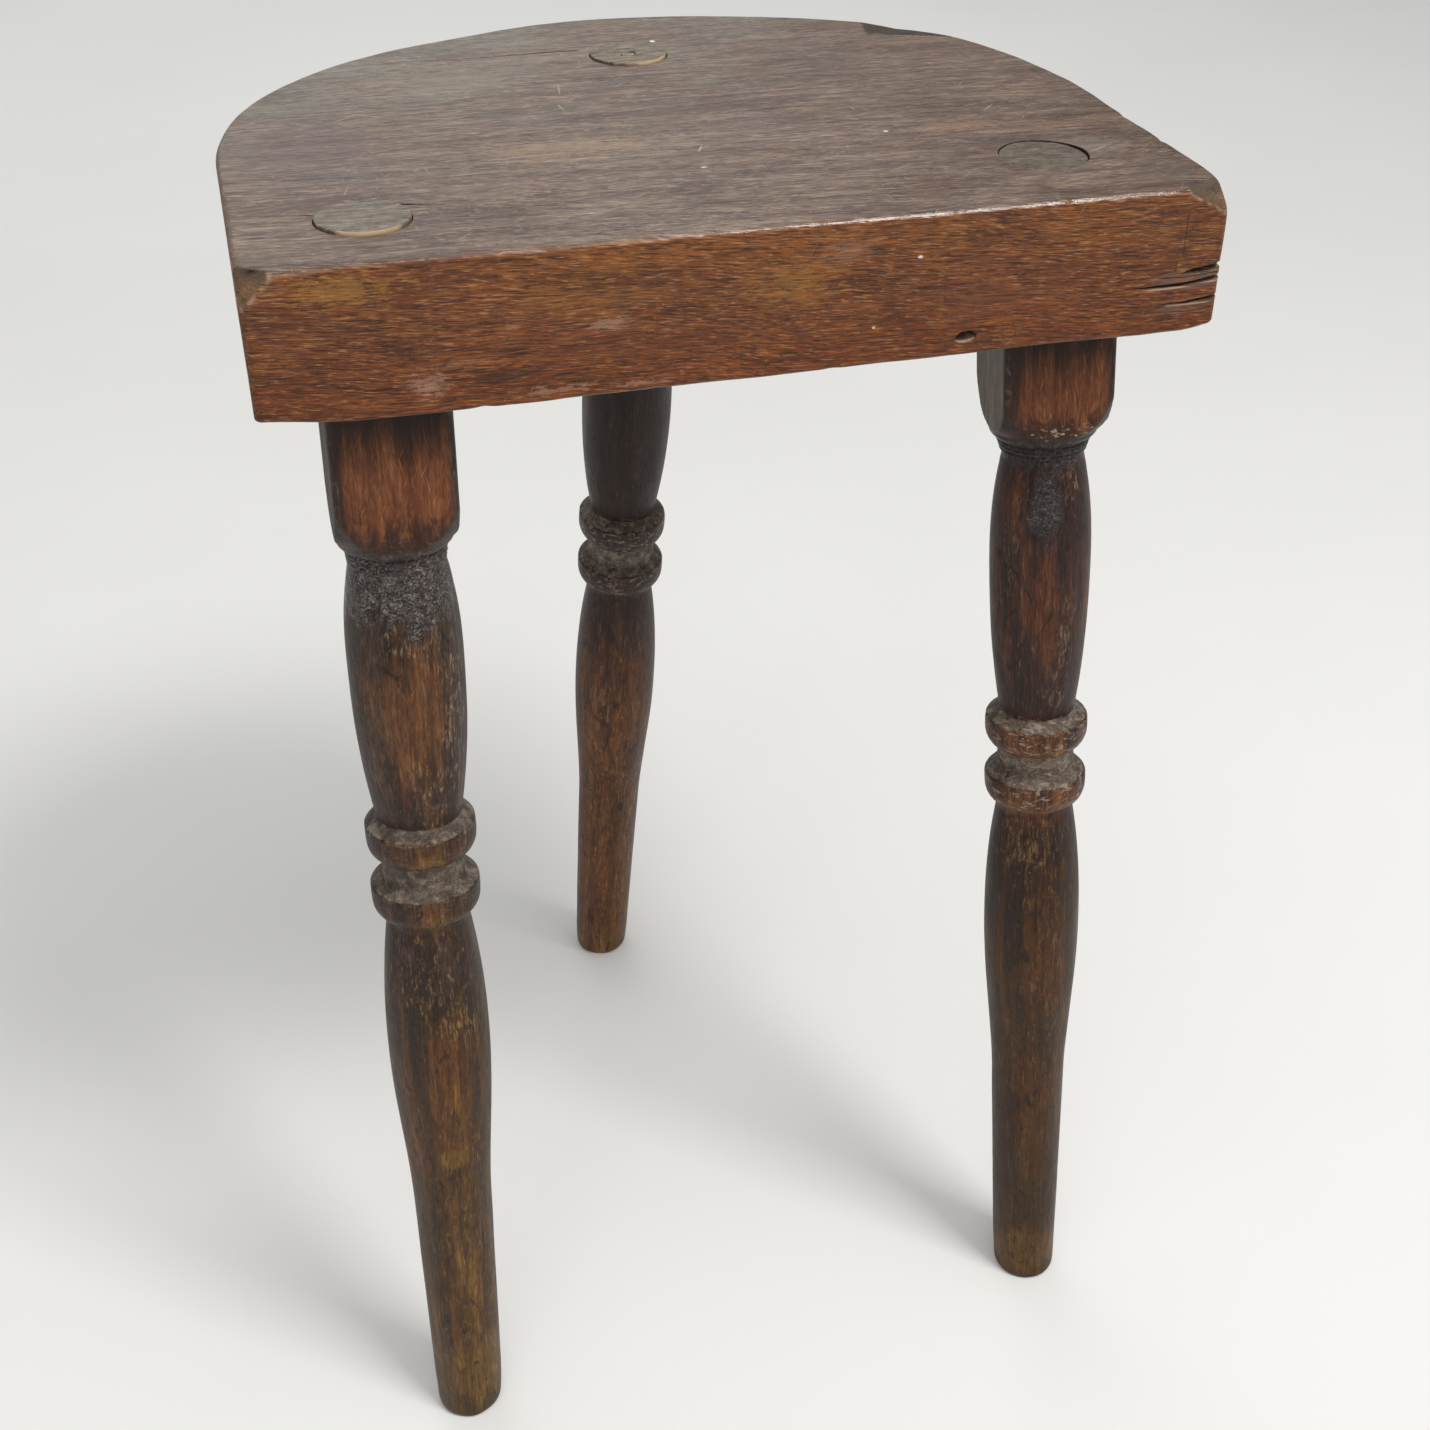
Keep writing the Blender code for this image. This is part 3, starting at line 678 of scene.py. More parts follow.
def leg_profile(leg, length):
    """(distance below the seat, radius) down the leg, as two arrays."""
    block = leg["block"] * MM
    neck = leg["neck"] * MM
    vase_end = leg["vase_end"] * MM
    profile = [
        (-20.0 * MM, PUMMEL_CORNER), (block - PUMMEL_RISE - 3.0 * MM, PUMMEL_CORNER),
        (block - PUMMEL_RISE, STOCK + 6.6 * MM), (block - 7.5 * MM, STOCK + 4.9 * MM),
        (block - 4.0 * MM, STOCK + 3.5 * MM), (block - 1.6 * MM, STOCK + 1.8 * MM),
        (block, STOCK - 0.1 * MM), (block + 1.4 * MM, STOCK - 0.55 * MM),
        (block + 2.3 * MM, STOCK - 1.3 * MM), (block + 3.0 * MM, STOCK - 2.3 * MM),
    ]
    step = (STOCK - 2.3 * MM - neck) / 5.0
    for n in range(3):
        at, radius = block + (3.3 + 1.5 * n) * MM, STOCK - 2.3 * MM - step * (n + 0.6)
        profile += [
            (at, radius - 0.32 * MM), (at + 0.35 * MM, radius - 0.38 * MM),
            (at + 0.75 * MM, radius + 0.06 * MM), (at + 1.15 * MM, radius),
        ]
    profile += swell(block + 8.0 * MM, neck, leg["belly_at"] * MM, leg["belly"] * MM,
                     VASE_END, vase_end, 30)
    profile += ring_profile(RING_STARTS[0], vase_end, GROOVE_RADIUS, leg["ring_wear"])
    profile.append((GROOVE_END, GROOVE_RADIUS - 0.1 * MM))
    profile += ring_profile(RING_STARTS[1], GROOVE_RADIUS, GROOVE_RADIUS + 0.2 * MM, leg["ring_wear"])
    profile += swell(SWELL_START, GROOVE_RADIUS, SWELL_BELLY, SWELL_RADIUS,
                     SWELL_BELLY + 0.5 * MM, SWELL_RADIUS, 18)
    for share in np.linspace(0.0, 1.0, 18)[1:]:
        narrowed = (1.0 - math.cos(math.pi * share)) / 2.0
        profile.append((SWELL_BELLY + (ANKLE - SWELL_BELLY) * share,
                        SWELL_RADIUS + (ANKLE_RADIUS - SWELL_RADIUS) * narrowed))
    rim = 2.2 * MM
    profile.append((length - rim * 1.8, FOOT_RADIUS + 0.1 * MM))
    for turn in np.linspace(0.2, math.pi / 2.0, 8):
        profile.append((length - rim * 1.4 * (1.0 - math.sin(turn)),
                        FOOT_RADIUS - 1.3 * MM * (1.0 - math.cos(turn))))
    profile = sorted(profile)
    at = np.array([p[0] for p in profile])
    radius = np.array([p[1] for p in profile])
    fine = np.arange(-20.0 * MM, length + 1.0 * MM, 0.1 * MM)
    smooth = np.interp(fine, at, radius)
    kernel = np.exp(-((np.arange(-5, 6) / 2.2) ** 2))
    smooth[5:-5] = np.convolve(smooth, kernel / kernel.sum(), mode="same")[5:-5]
    return fine, smooth


def leg_stations(leg, length):
    """Distances down the leg of the mesh's rows, closest together at the turned details."""
    fine = np.linspace(0.0, length, 8000)
    block = leg["block"] * MM
    spacing = np.full(len(fine), 1.6)
    for low, high, step in (
        (block - 12 * MM, block + 1 * MM, 0.7), (block + 1 * MM, block + 9 * MM, 0.33),
        (block + 9 * MM, block + 34 * MM, 0.9), (VASE_END - 4 * MM, SWELL_START + 1 * MM, 0.34),
        (length - 5 * MM, length, 0.4), (0.0, 2.0 * MM, 0.5),
    ):
        spacing = np.where((fine >= low) & (fine <= high), np.minimum(spacing, step), spacing)
    weight = np.cumsum(1.0 / spacing)
    count = int((weight[-1] - weight[0]) / len(fine) * length / MM)
    return np.interp(np.linspace(weight[0], weight[-1], count), weight, fine)


def square_radius(angles, corner):
    """Distance from the axis to the faces of the square stock, with rounded corners."""
    across = np.maximum(np.abs(np.cos(angles)), np.abs(np.sin(angles)))
    other = np.minimum(np.abs(np.cos(angles)), np.abs(np.sin(angles)))
    flat = STOCK / across
    middle = STOCK - corner
    reach = middle * (across + other)
    rounded = reach + np.sqrt(np.maximum(reach**2 - (2.0 * middle**2 - corner**2), 0.0))
    return np.where(flat * other <= middle, flat, rounded)


def tenon_points(leg, matrix, angles, radius, height):
    """Points round the tenon in the row frame, where its surface crosses a height."""
    root = Vector(matrix.translation)
    up = Vector(matrix.col[2][:3])
    start = root - up * TENON_ROOT
    shown = Vector((leg["tenon_top"][0] * MM, leg["tenon_top"][1] * MM, SEAT_TOP))
    lean = (shown - start).normalized()
    side = Vector(matrix.col[0][:3])
    e1 = np.array((side - lean * side.dot(lean)).normalized())
    e2 = np.cross(np.array(lean), e1)
    lean, start = np.array(lean), np.array(start)
    radius = np.broadcast_to(radius, angles.shape)
    points = start + (radius * np.cos(angles))[:, None] * e1 + (radius * np.sin(angles))[:, None] * e2
    slide = (np.broadcast_to(height, angles.shape) - points[:, 2]) / lean[2]
    return points + slide[:, None] * lean


def tenon_end(leg, points):
    """The height of the tenon's end at these points: end grain, grooves, a tilt, a nail's pit."""
    height = np.full(len(points), SEAT_TOP + leg["tenon_rise"] * MM)
    shown = np.array(leg["tenon_top"]) * MM
    away = (points[:, :2] - shown) / MM
    flat = np.column_stack([points[:, :2], np.zeros(len(points))])
    height -= (0.12 + 0.12 * lumps(flat, 5, leg["seed"] + 7)) * MM
    height -= (0.05 + 0.05 * lumps(flat, (1.2, 0.8, 1000), leg["seed"] + 8)) * MM
    if leg["name"] == "leg_back":
        pit = np.exp(-(((away[:, 0] + 2.2) / 4.6) ** 2 + ((away[:, 1] + 0.3) / 2.0) ** 2) ** 1.5)
        height -= pit * 1.2 * MM
        groove = np.exp(-(((away[:, 0] - 5.5) / 3.4) ** 2 + ((away[:, 1] - 1.3) / 0.8) ** 2))
        height -= groove * 0.3 * MM
    if leg["name"] == "leg_front_left":
        groove = hump(away[:, 1] - 0.14 * away[:, 0] + 2.2, 0.6) * fall(away[:, 0], -5.0, 0.0)
        height -= groove * 0.25 * MM
    if leg["name"] == "leg_front_right":
        height -= 0.35 * MM * rise(away[:, 0], 2.0, 13.0)
    return height


def leg_rows(leg):
    """Every ring of the leg's mesh in the row frame, from the foot to the tenon's end."""
    matrix, length = leg_frame(leg)
    axes = np.array(matrix)[:3, :3]
    root = np.array(matrix.translation)
    angles = ring_of(LEG_COLUMNS)
    at, profile = leg_profile(leg, length)
    stations = leg_stations(leg, length)
    seed = leg["seed"]
    square = square_radius(angles, leg["corner"] * MM)
    block = leg["block"] * MM
    unit = np.stack([np.cos(angles), np.sin(angles)], axis=1)
    tenon_top = SEAT_TOP + leg["tenon_rise"] * MM

    def tenon_ring(radius, height):
        return tenon_points(leg, matrix, angles, radius, height)

    def place(radius, distance):
        """Row-frame points from radii and distances down the leg."""
        local = np.column_stack([unit * radius[:, None], -distance])
        bow = leg["bow"] * MM * np.sin(math.pi * np.clip(distance / length, 0.0, 1.0)) ** 2
        return root + local @ axes.T + np.outer(bow, (1.0, 0.0, 0.0))

    def radii(distance):
        turned = np.interp(distance, at, profile)
        turned = np.full(len(angles), turned)
        spot = np.column_stack([unit * 16.0 * MM, np.full(len(angles), -distance)])
        ring_zone = max(
            math.exp(-((distance - start - 0.6 * MM) / (1.9 * MM)) ** 2) for start in RING_STARTS)
        chips = rise(lumps(spot, (4.5, 4.5, 30), seed + 1), 0.25, 0.8)
        turned -= ring_zone * chips * (0.25 + 0.9 * leg["ring_wear"]) * MM
        in_rings = float(rise(distance, VASE_END - 2 * MM, VASE_END + 2 * MM)
                         - rise(distance, SWELL_START - 2 * MM, SWELL_START + 2 * MM))
        turned -= in_rings * 0.12 * MM * (1.0 + lumps(spot, (6, 6, 5), seed + 2))
        crackle = (math.exp(-(max(distance - block - 2 * MM, 0.0) / (17.0 * MM)) ** 2)
                   * float(rise(distance, block - 1 * MM, block + 3 * MM)) * leg["crackle"])
        turned += crackle * 0.17 * MM * (
            lumps(spot, 1.7, seed + 3) + 0.6 * lumps(spot, (3.4, 3.4, 2.2), seed + 4) - 0.6)
        radius = soft_min(turned, square, 0.7 * MM)
        swelling = 1.0 + 0.006 * lumps(spot, (60, 60, 75), seed + 5)
        radius = radius * swelling
        radius -= 0.07 * MM * (1.0 + lumps(spot, (7, 7, 16), seed + 6))
        worn_foot = float(rise(distance, length - 16 * MM, length))
        radius -= worn_foot * 0.25 * MM * (1.0 + lumps(spot, (8, 8, 9), seed + 9))
        return radius

    rows = []
    foot = radii(length)
    for share in FOOT_SHARES:
        rows.append((foot * share, length))
    for distance in stations[::-1]:
        rows.append((radii(distance), distance))
    placed = []
    for radius, distance in rows:
        local = unit * radius[:, None]
        tilt = local @ axes[2, :2]
        top_at = (tilt + SHOULDER_GAP) / axes[2, 2]
        foot_at = (root[2] + tilt) / axes[2, 2]
        near_top = float(fall(distance, 0.0, 20 * MM))
        near_foot = float(rise(distance, length - 20 * MM, length))
        warped = distance + near_top * top_at + near_foot * (foot_at - length)
        placed.append(place(radius, warped))
    foot_pole = placed[0].mean(axis=0)

    shoulder_z = UNDERSIDE - SHOULDER_GAP
    block_top = placed[-1]
    neck = tenon_ring(TENON_RADIUS + 0.4 * MM, shoulder_z)
    for share in (0.12, 0.5, 0.88):
        row = block_top + (neck - block_top) * share
        row[:, 2] = shoulder_z
        placed.append(row)
    placed.append(neck)
    for height in np.linspace(shoulder_z + 0.4 * MM, SEAT_TOP - 4.0 * MM, 12):
        placed.append(tenon_ring(TENON_RADIUS, height))
    for drop in (2.4, 1.6):
        placed.append(tenon_ring(TENON_RADIUS, SEAT_TOP - drop * MM))
    facing = np.cos(angles + math.pi / 2.0 - leg["rim_at"])
    rim = (0.3 + 0.60 * np.clip(facing, 0.0, 1.0) ** 3 * (leg["rim_at"] != NO_BARE_RIM)) * MM
    rim = rim * (1.0 + 0.3 * lumps(np.column_stack([unit * 12 * MM, np.zeros(len(angles))]), 3, seed + 10))
    for turn in np.linspace(0.0, math.pi / 2.0, 5):
        ring = tenon_ring(TENON_RADIUS - rim * (1.0 - math.cos(turn)), tenon_top)
        ring[:, 2] = tenon_end(leg, ring) - rim * 0.75 * (1.0 - math.sin(turn))
        placed.append(ring)
    for share in np.concatenate([[0.97], np.linspace(0.93, 0.06, 20)]):
        ring = tenon_ring((TENON_RADIUS - rim) * share, tenon_top)
        ring[:, 2] = tenon_end(leg, ring)
        placed.append(ring)
    pole = placed[-1].mean(axis=0)
    return matrix, np.array(placed), foot_pole, pole


def mortise(leg):
    """The hole that the leg's tenon goes through, a little loose and worn at its mouth."""
    matrix, _ = leg_frame(leg)
    angles = ring_of(72)
    spot = np.column_stack([np.cos(angles) * 13 * MM, np.sin(angles) * 13 * MM, np.zeros(len(angles))])
    loose = MORTISE_GAP + 0.10 * MM * lumps(spot, 7, leg["seed"] + 11) - 0.12 * MM
    if leg["name"] == "leg_front_right":
        loose += 0.5 * MM * np.clip(np.cos(angles - 0.35), 0.0, 1.0) ** 6
    if leg["name"] == "leg_front_left":
        loose += 0.35 * MM * np.clip(np.cos(angles - math.radians(215.0)), 0.0, 1.0) ** 4
    mouth = (0.14 + 0.12 * lumps(spot, 4, leg["seed"] + 12)) * MM
    if leg["name"] == "leg_front_right":
        mouth += 0.7 * MM * np.clip(np.cos(angles + math.pi / 2.0), 0.0, 1.0) ** 2
    rows = [tenon_points(leg, matrix, angles, radius, height) for radius, height in (
        (TENON_RADIUS + MORTISE_GAP, UNDERSIDE - 5.0 * MM),
        (TENON_RADIUS + MORTISE_GAP, UNDERSIDE + 8.0 * MM),
        (TENON_RADIUS + loose, SEAT_TOP - 6.0 * MM),
        (TENON_RADIUS + loose, SEAT_TOP - 1.1 * MM),
        (TENON_RADIUS + loose + mouth, SEAT_TOP + 0.1 * MM),
        (TENON_RADIUS + loose + mouth, SEAT_TOP + 3.0 * MM),
    )]
    return capped_piece(f"{leg['name']} mortise", np.array(rows))


# Nail --------------------------------------------------------------------------------

NAIL_HALF = (2.3 * MM, 1.5 * MM)
NAIL_HEAD_DEPTH = 1.2 * MM
NAIL_LEG = LEGS[2]
# The shares of its size and the heights in millimetres of the rings on the nail's hammered end
NAIL_END = ((0.94, -0.12), (0.85, 0.0), (0.7, 0.04), (0.5, 0.06), (0.3, 0.02), (0.12, -0.04))


def nail_rows(grow, grow_up):
    """The cut nail, or its slightly larger pocket, at the place of its CAD node."""
    low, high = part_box("tenon_nail")
    matrix, _ = leg_frame(NAIL_LEG)
    angles = ring_of(40)
    square = 1.0 / (np.abs(np.cos(angles)) ** 5 + np.abs(np.sin(angles)) ** 5) ** 0.2

    def row(half_x, half_y, height, rough):
        centre = tenon_points(NAIL_LEG, matrix, np.zeros(1), 0.0, height)[0]
        x = (half_x + grow) * square * np.cos(angles)
        y = (half_y + grow) * square * np.sin(angles)
        points = np.column_stack([centre[0] + x, centre[1] + y, np.full(len(angles), height)])
        if rough:
            points[:, 2] += rough * MM * lumps(points, 1.1, 71)
        return points

    top = high.z - 0.25 * MM
    half_x, half_y = NAIL_HALF
    rows = [row(0.5 * MM, 0.5 * MM, low.z + 0.6 * MM - grow, 0.0)]
    for share in np.linspace(0.1, 1.0, 8):
        side = (0.5 + 0.6 * share) * MM
        rows.append(row(side, side * 0.8, low.z + (top - NAIL_HEAD_DEPTH - low.z) * share - grow, 0.0))
    rows.append(row(half_x - 0.25 * MM, half_y - 0.25 * MM, top - NAIL_HEAD_DEPTH - grow, 0.0))
    rows.append(row(half_x, half_y, top - NAIL_HEAD_DEPTH + 0.3 * MM - grow, 0.0))
    rows.append(row(half_x, half_y, top - 0.35 * MM, 0.0))
    if grow_up:
        rows.append(row(half_x + 0.3 * MM, half_y + 0.3 * MM, top + grow_up, 0.0))
    else:
        for share, height in NAIL_END:
            rows.append(row(half_x * share, half_y * share, top + height * MM, 0.14))
    return np.array(rows)


# Materials ---------------------------------------------------------------------------


# How far apart the noises of two seeds lie along X, Y and Z
SEED_STRIDES = (7.31, 3.17, 5.73)
VARNISH_IOR = 1.5
# How much the varnish on the seat and on the legs shines
SEAT_SPECULAR = 0.30
LEG_SPECULAR = 0.26


class Graph:
    """A material's node tree, with a short way to write each kind of node."""

    def __init__(self, name, places=None):
        self.material = bpy.data.materials.new(name)
        self.material.use_nodes = True
        self.tree = self.material.node_tree
        self.shader = self.tree.nodes["Principled BSDF"]
        if places:
            self.place = self.node("ShaderNodeAttribute", {"attribute_name": places}).outputs["Vector"]
        else:
            self.place = self.node("ShaderNodeTexCoord").outputs["Object"]
        self.seed = 0

    def node(self, kind, settings=None, **inputs):
        made = self.tree.nodes.new(kind)
        for key, value in (settings or {}).items():
            setattr(made, key, value)
        for key, value in inputs.items():
            self.feed(made, key.replace("_", " "), value)
        return made

    def feed(self, node, key, value):
        socket = node.inputs[int(key[2:])] if key.startswith("in") and key[2:].isdigit() else node.inputs[key]
        if isinstance(value, bpy.types.NodeSocket):
            self.tree.links.new(value, socket)
        else:
            socket.default_value = value

    def math(self, operation, a, b=0.0, c=None, clamp=False):
        made = self.node("ShaderNodeMath", {"operation": operation, "use_clamp": clamp})
        self.feed(made, "in0", a)
        self.feed(made, "in1", b)
        if c is not None:
            self.feed(made, "in2", c)
        return made.outputs[0]

    def add(self, a, b):
        return self.math("ADD", a, b)

    def times(self, a, b):
        return self.math("MULTIPLY", a, b)

    def total(self, first, *others, base=None, clamp=False):
        """The sum of values, each times its factor, over a base; clamp keeps it from 0 to 1."""
        value = self.times(*first)
        if base is not None:
            value = self.add(value, base)
        for n, other in enumerate(others, 1):
            value = self.math("ADD", value, self.times(*other), clamp=clamp and n == len(others))
        return value

    def swayed(self, value, noise, amount):
        """A value moved up and down by a noise that goes from 0 to 1."""
        return self.add(value, self.times(self.add(noise, -0.5), amount))

    def step(self, value, low, high, to_low=0.0, to_high=1.0):
        """Goes smoothly from one number to another as a value passes from low to high."""
        made = self.node("ShaderNodeMapRange", {"interpolation_type": "SMOOTHSTEP", "clamp": True},
                         Value=value)
        for key, number in (("From Min", low), ("From Max", high), ("To Min", to_low), ("To Max", to_high)):
            made.inputs[key].default_value = number
        return made.outputs["Result"]

    def between(self, value, low, full, still_full, high):
        """1 from full to still_full, and 0 below low and above high."""
        return self.times(self.step(value, low, full), self.step(value, high, still_full))

    def noise(self, size, detail=2.0, rough=0.5, warp=0.0, place=None):
        """Noise from 0 to 1 whose lumps have these sizes in millimetres along X, Y and Z."""
        self.seed += 1
        scaled = self.node("ShaderNodeMapping", Vector=self.place if place is None else place)
        scaled.inputs["Scale"].default_value = [1.0 / (s * MM) for s in size]
        scaled.inputs["Location"].default_value = [self.seed * stride for stride in SEED_STRIDES]
        made = self.node("ShaderNodeTexNoise", Vector=scaled.outputs[0], Scale=1.0, Detail=detail,
                         Roughness=rough, Distortion=warp)
        return made.outputs[0]

    def mix(self, share, a, b, kind="MIX"):
        made = self.node("ShaderNodeMix", {"data_type": "RGBA", "blend_type": kind, "clamp_factor": True})
        for index, value in ((0, share), (6, a), (7, b)):
            if isinstance(value, tuple) and len(value) == 3:
                value = (*value, 1.0)
            self.feed(made, f"in{index}", value)
        return made.outputs[2]

    def layers(self, base, *table):
        """Lays colours over a base, each where a value passes from low to high."""
        for value, low, high, share, colour in table:
            base = self.mix(self.step(value, low, high, 0.0, share), base, colour)
        return base

    def cover(self, base, *table):
        """Lays colours over a base, each where its mask is and as strong as its share."""
        for mask, share, colour in table:
            base = self.mix(self.times(mask, share), base, colour)
        return base

    def tint(self, base, share, colour):
        """Multiplies a base by a colour, as strongly as the share."""
        return self.mix(share, base, colour, "MULTIPLY")

    def tones(self, tone, *colours, ends=(0.08, 0.94)):
        """Four colours of one wood, from its darkest fibres to its palest."""
        return self.ramp(tone, tuple(zip((ends[0], 0.38, 0.62, ends[1]), colours)))

    def either(self, first, *others):
        """The greatest of these masks."""
        for other in others:
            first = self.math("MAXIMUM", first, other)
        return first

    def ramp(self, value, stops):
        made = self.node("ShaderNodeValToRGB")
        made.color_ramp.interpolation = "B_SPLINE" if len(stops) > 3 else "LINEAR"
        elements = made.color_ramp.elements
        while len(elements) < len(stops):
            elements.new(0.5)
        for element, (at, colour) in zip(elements, stops):
            element.position = at
            element.color = (*colour, 1.0)
        self.feed(made, "Fac", value)
        return made.outputs["Color"]

    def gain(self, value, amount):
        """Spreads a value away from a half, kept from 0 to 1."""
        return self.math("MULTIPLY_ADD", value, amount, 0.5 - 0.5 * amount, clamp=True)

    def spot(self, place, size, ragged=0.8, turn=0.0):
        """1 inside a ragged patch at a place, sizes in millimetres, and 0 outside."""
        moved = self.node("ShaderNodeVectorMath", {"operation": "SUBTRACT"})
        self.feed(moved, "in0", self.place)
        moved.inputs[1].default_value = [p * MM for p in place]
        if turn:
            moved = self.node("ShaderNodeVectorRotate", Vector=moved.outputs[0])
            moved.inputs["Angle"].default_value = math.radians(-turn)
        scaled = self.node("ShaderNodeVectorMath", {"operation": "DIVIDE"})
        self.feed(scaled, "in0", moved.outputs[0])
        scaled.inputs[1].default_value = [s * MM for s in size]
        length = self.node("ShaderNodeVectorMath", {"operation": "LENGTH"})
        self.feed(length, "in0", scaled.outputs[0])
        rough = self.times(self.add(self.noise((4.0, 2.0, 0.9), 4.0, 0.75), -0.5), ragged * 3.0)
        return self.step(self.add(length.outputs["Value"], rough), 1.2, 0.5)

    def attribute(self, name):
        made = self.node("ShaderNodeAttribute")
        made.attribute_name = name
        return made.outputs["Fac"]

    def axis(self, index, place=None):
        made = self.node("ShaderNodeSeparateXYZ", Vector=self.place if place is None else place)
        return made.outputs[index]

    def bump(self, height, distance, strength):
        return self.node("ShaderNodeBump", Height=height, Strength=strength, Distance=distance).outputs[0]

    def lines(self, angle, length, thickness, keep, plane="XY"):
        """Fine scratches lying at an angle in one plane, from 0 to 1."""
        turned = self.node("ShaderNodeVectorRotate", Vector=self.place)
        axis = (0.0, 0.0, 1.0) if plane == "XY" else (0.0, 1.0, 0.0)
        turned.inputs["Axis"].default_value = axis
        turned.inputs["Angle"].default_value = math.radians(angle)
        size = (length, thickness, 60.0) if plane == "XY" else (length, 60.0, thickness)
        value = self.noise(size, 1.0, 0.4, 0.0, turned.outputs[0])
        return self.step(value, keep, keep + 0.05)

    def finished(self, colour, rough, normal, specular):
        """Gives the wood's shader its inputs and returns the material."""
        self.feed(self.shader, "Base Color", colour)
        self.feed(self.shader, "Roughness", rough)
        self.feed(self.shader, "Normal", normal)
        self.shader.inputs["IOR"].default_value = VARNISH_IOR
        self.shader.inputs["Specular IOR Level"].default_value = specular
        return self.material


# Marks on the seat, in millimetres. THROUGH is their half size at right angles to their face.
THROUGH = 20.0
PALE_SCUFF = (0.42, 0.25, 0.17)
DARK_STAIN = (0.030, 0.013, 0.008)
SCRATCH_COLOUR = (0.46, 0.37, 0.29)
# Each is its X and Z, its half width and half height, how ragged, how strong and its colour
FRONT_MARKS = (
    (-42.5, 407.5, 4.5, 1.6, 2.0, 0.45, PALE_SCUFF),
    (-91.0, 395.5, 4.5, 3.2, 2.2, 0.45, PALE_SCUFF),
    (-83.0, 400.5, 5.0, 0.9, 2.6, 0.22, PALE_SCUFF),
    (-58.0, 390.5, 9.0, 1.0, 2.4, 0.40, PALE_SCUFF),
    (-33.0, 390.0, 7.0, 0.9, 2.4, 0.35, PALE_SCUFF),
    (23.0, 421.5, 6.0, 3.0, 2.6, 0.22, PALE_SCUFF),
    (-71.0, 396.5, 9.0, 2.6, 1.5, 0.6, DARK_STAIN),
    (-96.0, 405.0, 8.0, 1.6, 1.5, 0.35, DARK_STAIN),
    (-111.0, 423.5, 13.0, 3.6, 2.2, 0.42, (0.38, 0.185, 0.035)),
    (7.0, 413.0, 10.0, 5.0, 2.4, 0.40, (0.33, 0.150, 0.030)),
    (-40.0, 414.0, 26.0, 4.0, 2.4, 0.14, (0.30, 0.135, 0.040)),
    (62.0, 405.0, 22.0, 5.0, 2.4, 0.38, (0.110, 0.036, 0.017)),
    (-20.0, 400.0, 30.0, 4.0, 2.4, 0.35, (0.105, 0.034, 0.015)),
    (44.0, 417.7, 0.8, 0.5, 0.3, 0.9, (0.75, 0.66, 0.58)),
    (31.4, 398.7, 0.5, 0.4, 0.3, 0.8, (0.70, 0.60, 0.50)),
    (123.4, 417.0, 0.3, 8.0, 0.35, 0.75, DARK_STAIN),
    (121.6, 406.5, 0.3, 3.0, 0.35, 0.6, DARK_STAIN),
    (127.0, 403.0, 13.0, 2.6, 1.2, 0.45, (0.150, 0.105, 0.095)),
    (127.0, 395.5, 12.0, 2.4, 1.2, 0.35, (0.150, 0.100, 0.080)),
    # The four pale thin lines along the checks are painted highlights on their raised lips
    (120.0, 401.2, 8.0, 0.35, 0.4, 0.6, (0.56, 0.40, 0.32)),
    (132.0, 402.1, 5.0, 0.30, 0.4, 0.6, (0.56, 0.40, 0.32)),
    (131.5, 405.0, 5.0, 0.35, 0.5, 0.45, (0.40, 0.30, 0.26)),
    (127.0, 395.9, 8.0, 0.30, 0.5, 0.6, (0.50, 0.34, 0.25)),
)
# Each is its X and Y, its half width and half depth, how ragged, how strong and its colour
TOP_MARKS = (
    (80.7, -37.8, 13.0, 4.5, 1.2, 0.45, (0.30, 0.165, 0.085)),
    (-39.0, -30.0, 26.0, 8.0, 1.6, 0.42, (0.33, 0.225, 0.140)),
    (-110.0, -12.0, 22.0, 30.0, 1.6, 0.45, (0.110, 0.068, 0.075)),
    (-4.0, 0.0, 40.0, 5.0, 1.6, 0.60, (0.065, 0.038, 0.034)),
    (20.0, -18.0, 30.0, 4.0, 1.6, 0.50, (0.075, 0.042, 0.042)),
    (40.0, 22.0, 30.0, 3.5, 1.6, 0.50, (0.070, 0.045, 0.036)),
    (-30.0, 27.0, 34.0, 3.0, 1.6, 0.45, (0.080, 0.052, 0.042)),
    (-64.0, 50.0, 24.0, 16.0, 1.8, 0.40, (0.24, 0.205, 0.15)),
    (58.5, -37.2, 0.8, 0.8, 0.3, 0.9, (0.75, 0.66, 0.58)),
    (-2.9, -56.3, 1.1, 0.6, 0.3, 0.9, (0.75, 0.66, 0.58)),
    # A painted glint on the top, just behind the back tenon
    (14.7, 80.1, 1.0, 1.3, 0.2, 1.0, (0.85, 0.82, 0.78)),
    (4.0, 84.0, 17.0, 2.2, 1.0, 0.55, (0.085, 0.050, 0.036)),
    (112.0, -64.0, 12.0, 8.0, 1.6, 0.35, (0.20, 0.18, 0.155)),
    (-132.0, -99.0, 7.0, 5.0, 1.2, 0.55, (0.105, 0.085, 0.055)),
    (124.0, -96.0, 9.0, 8.0, 1.2, 0.45, (0.085, 0.060, 0.045)),
)
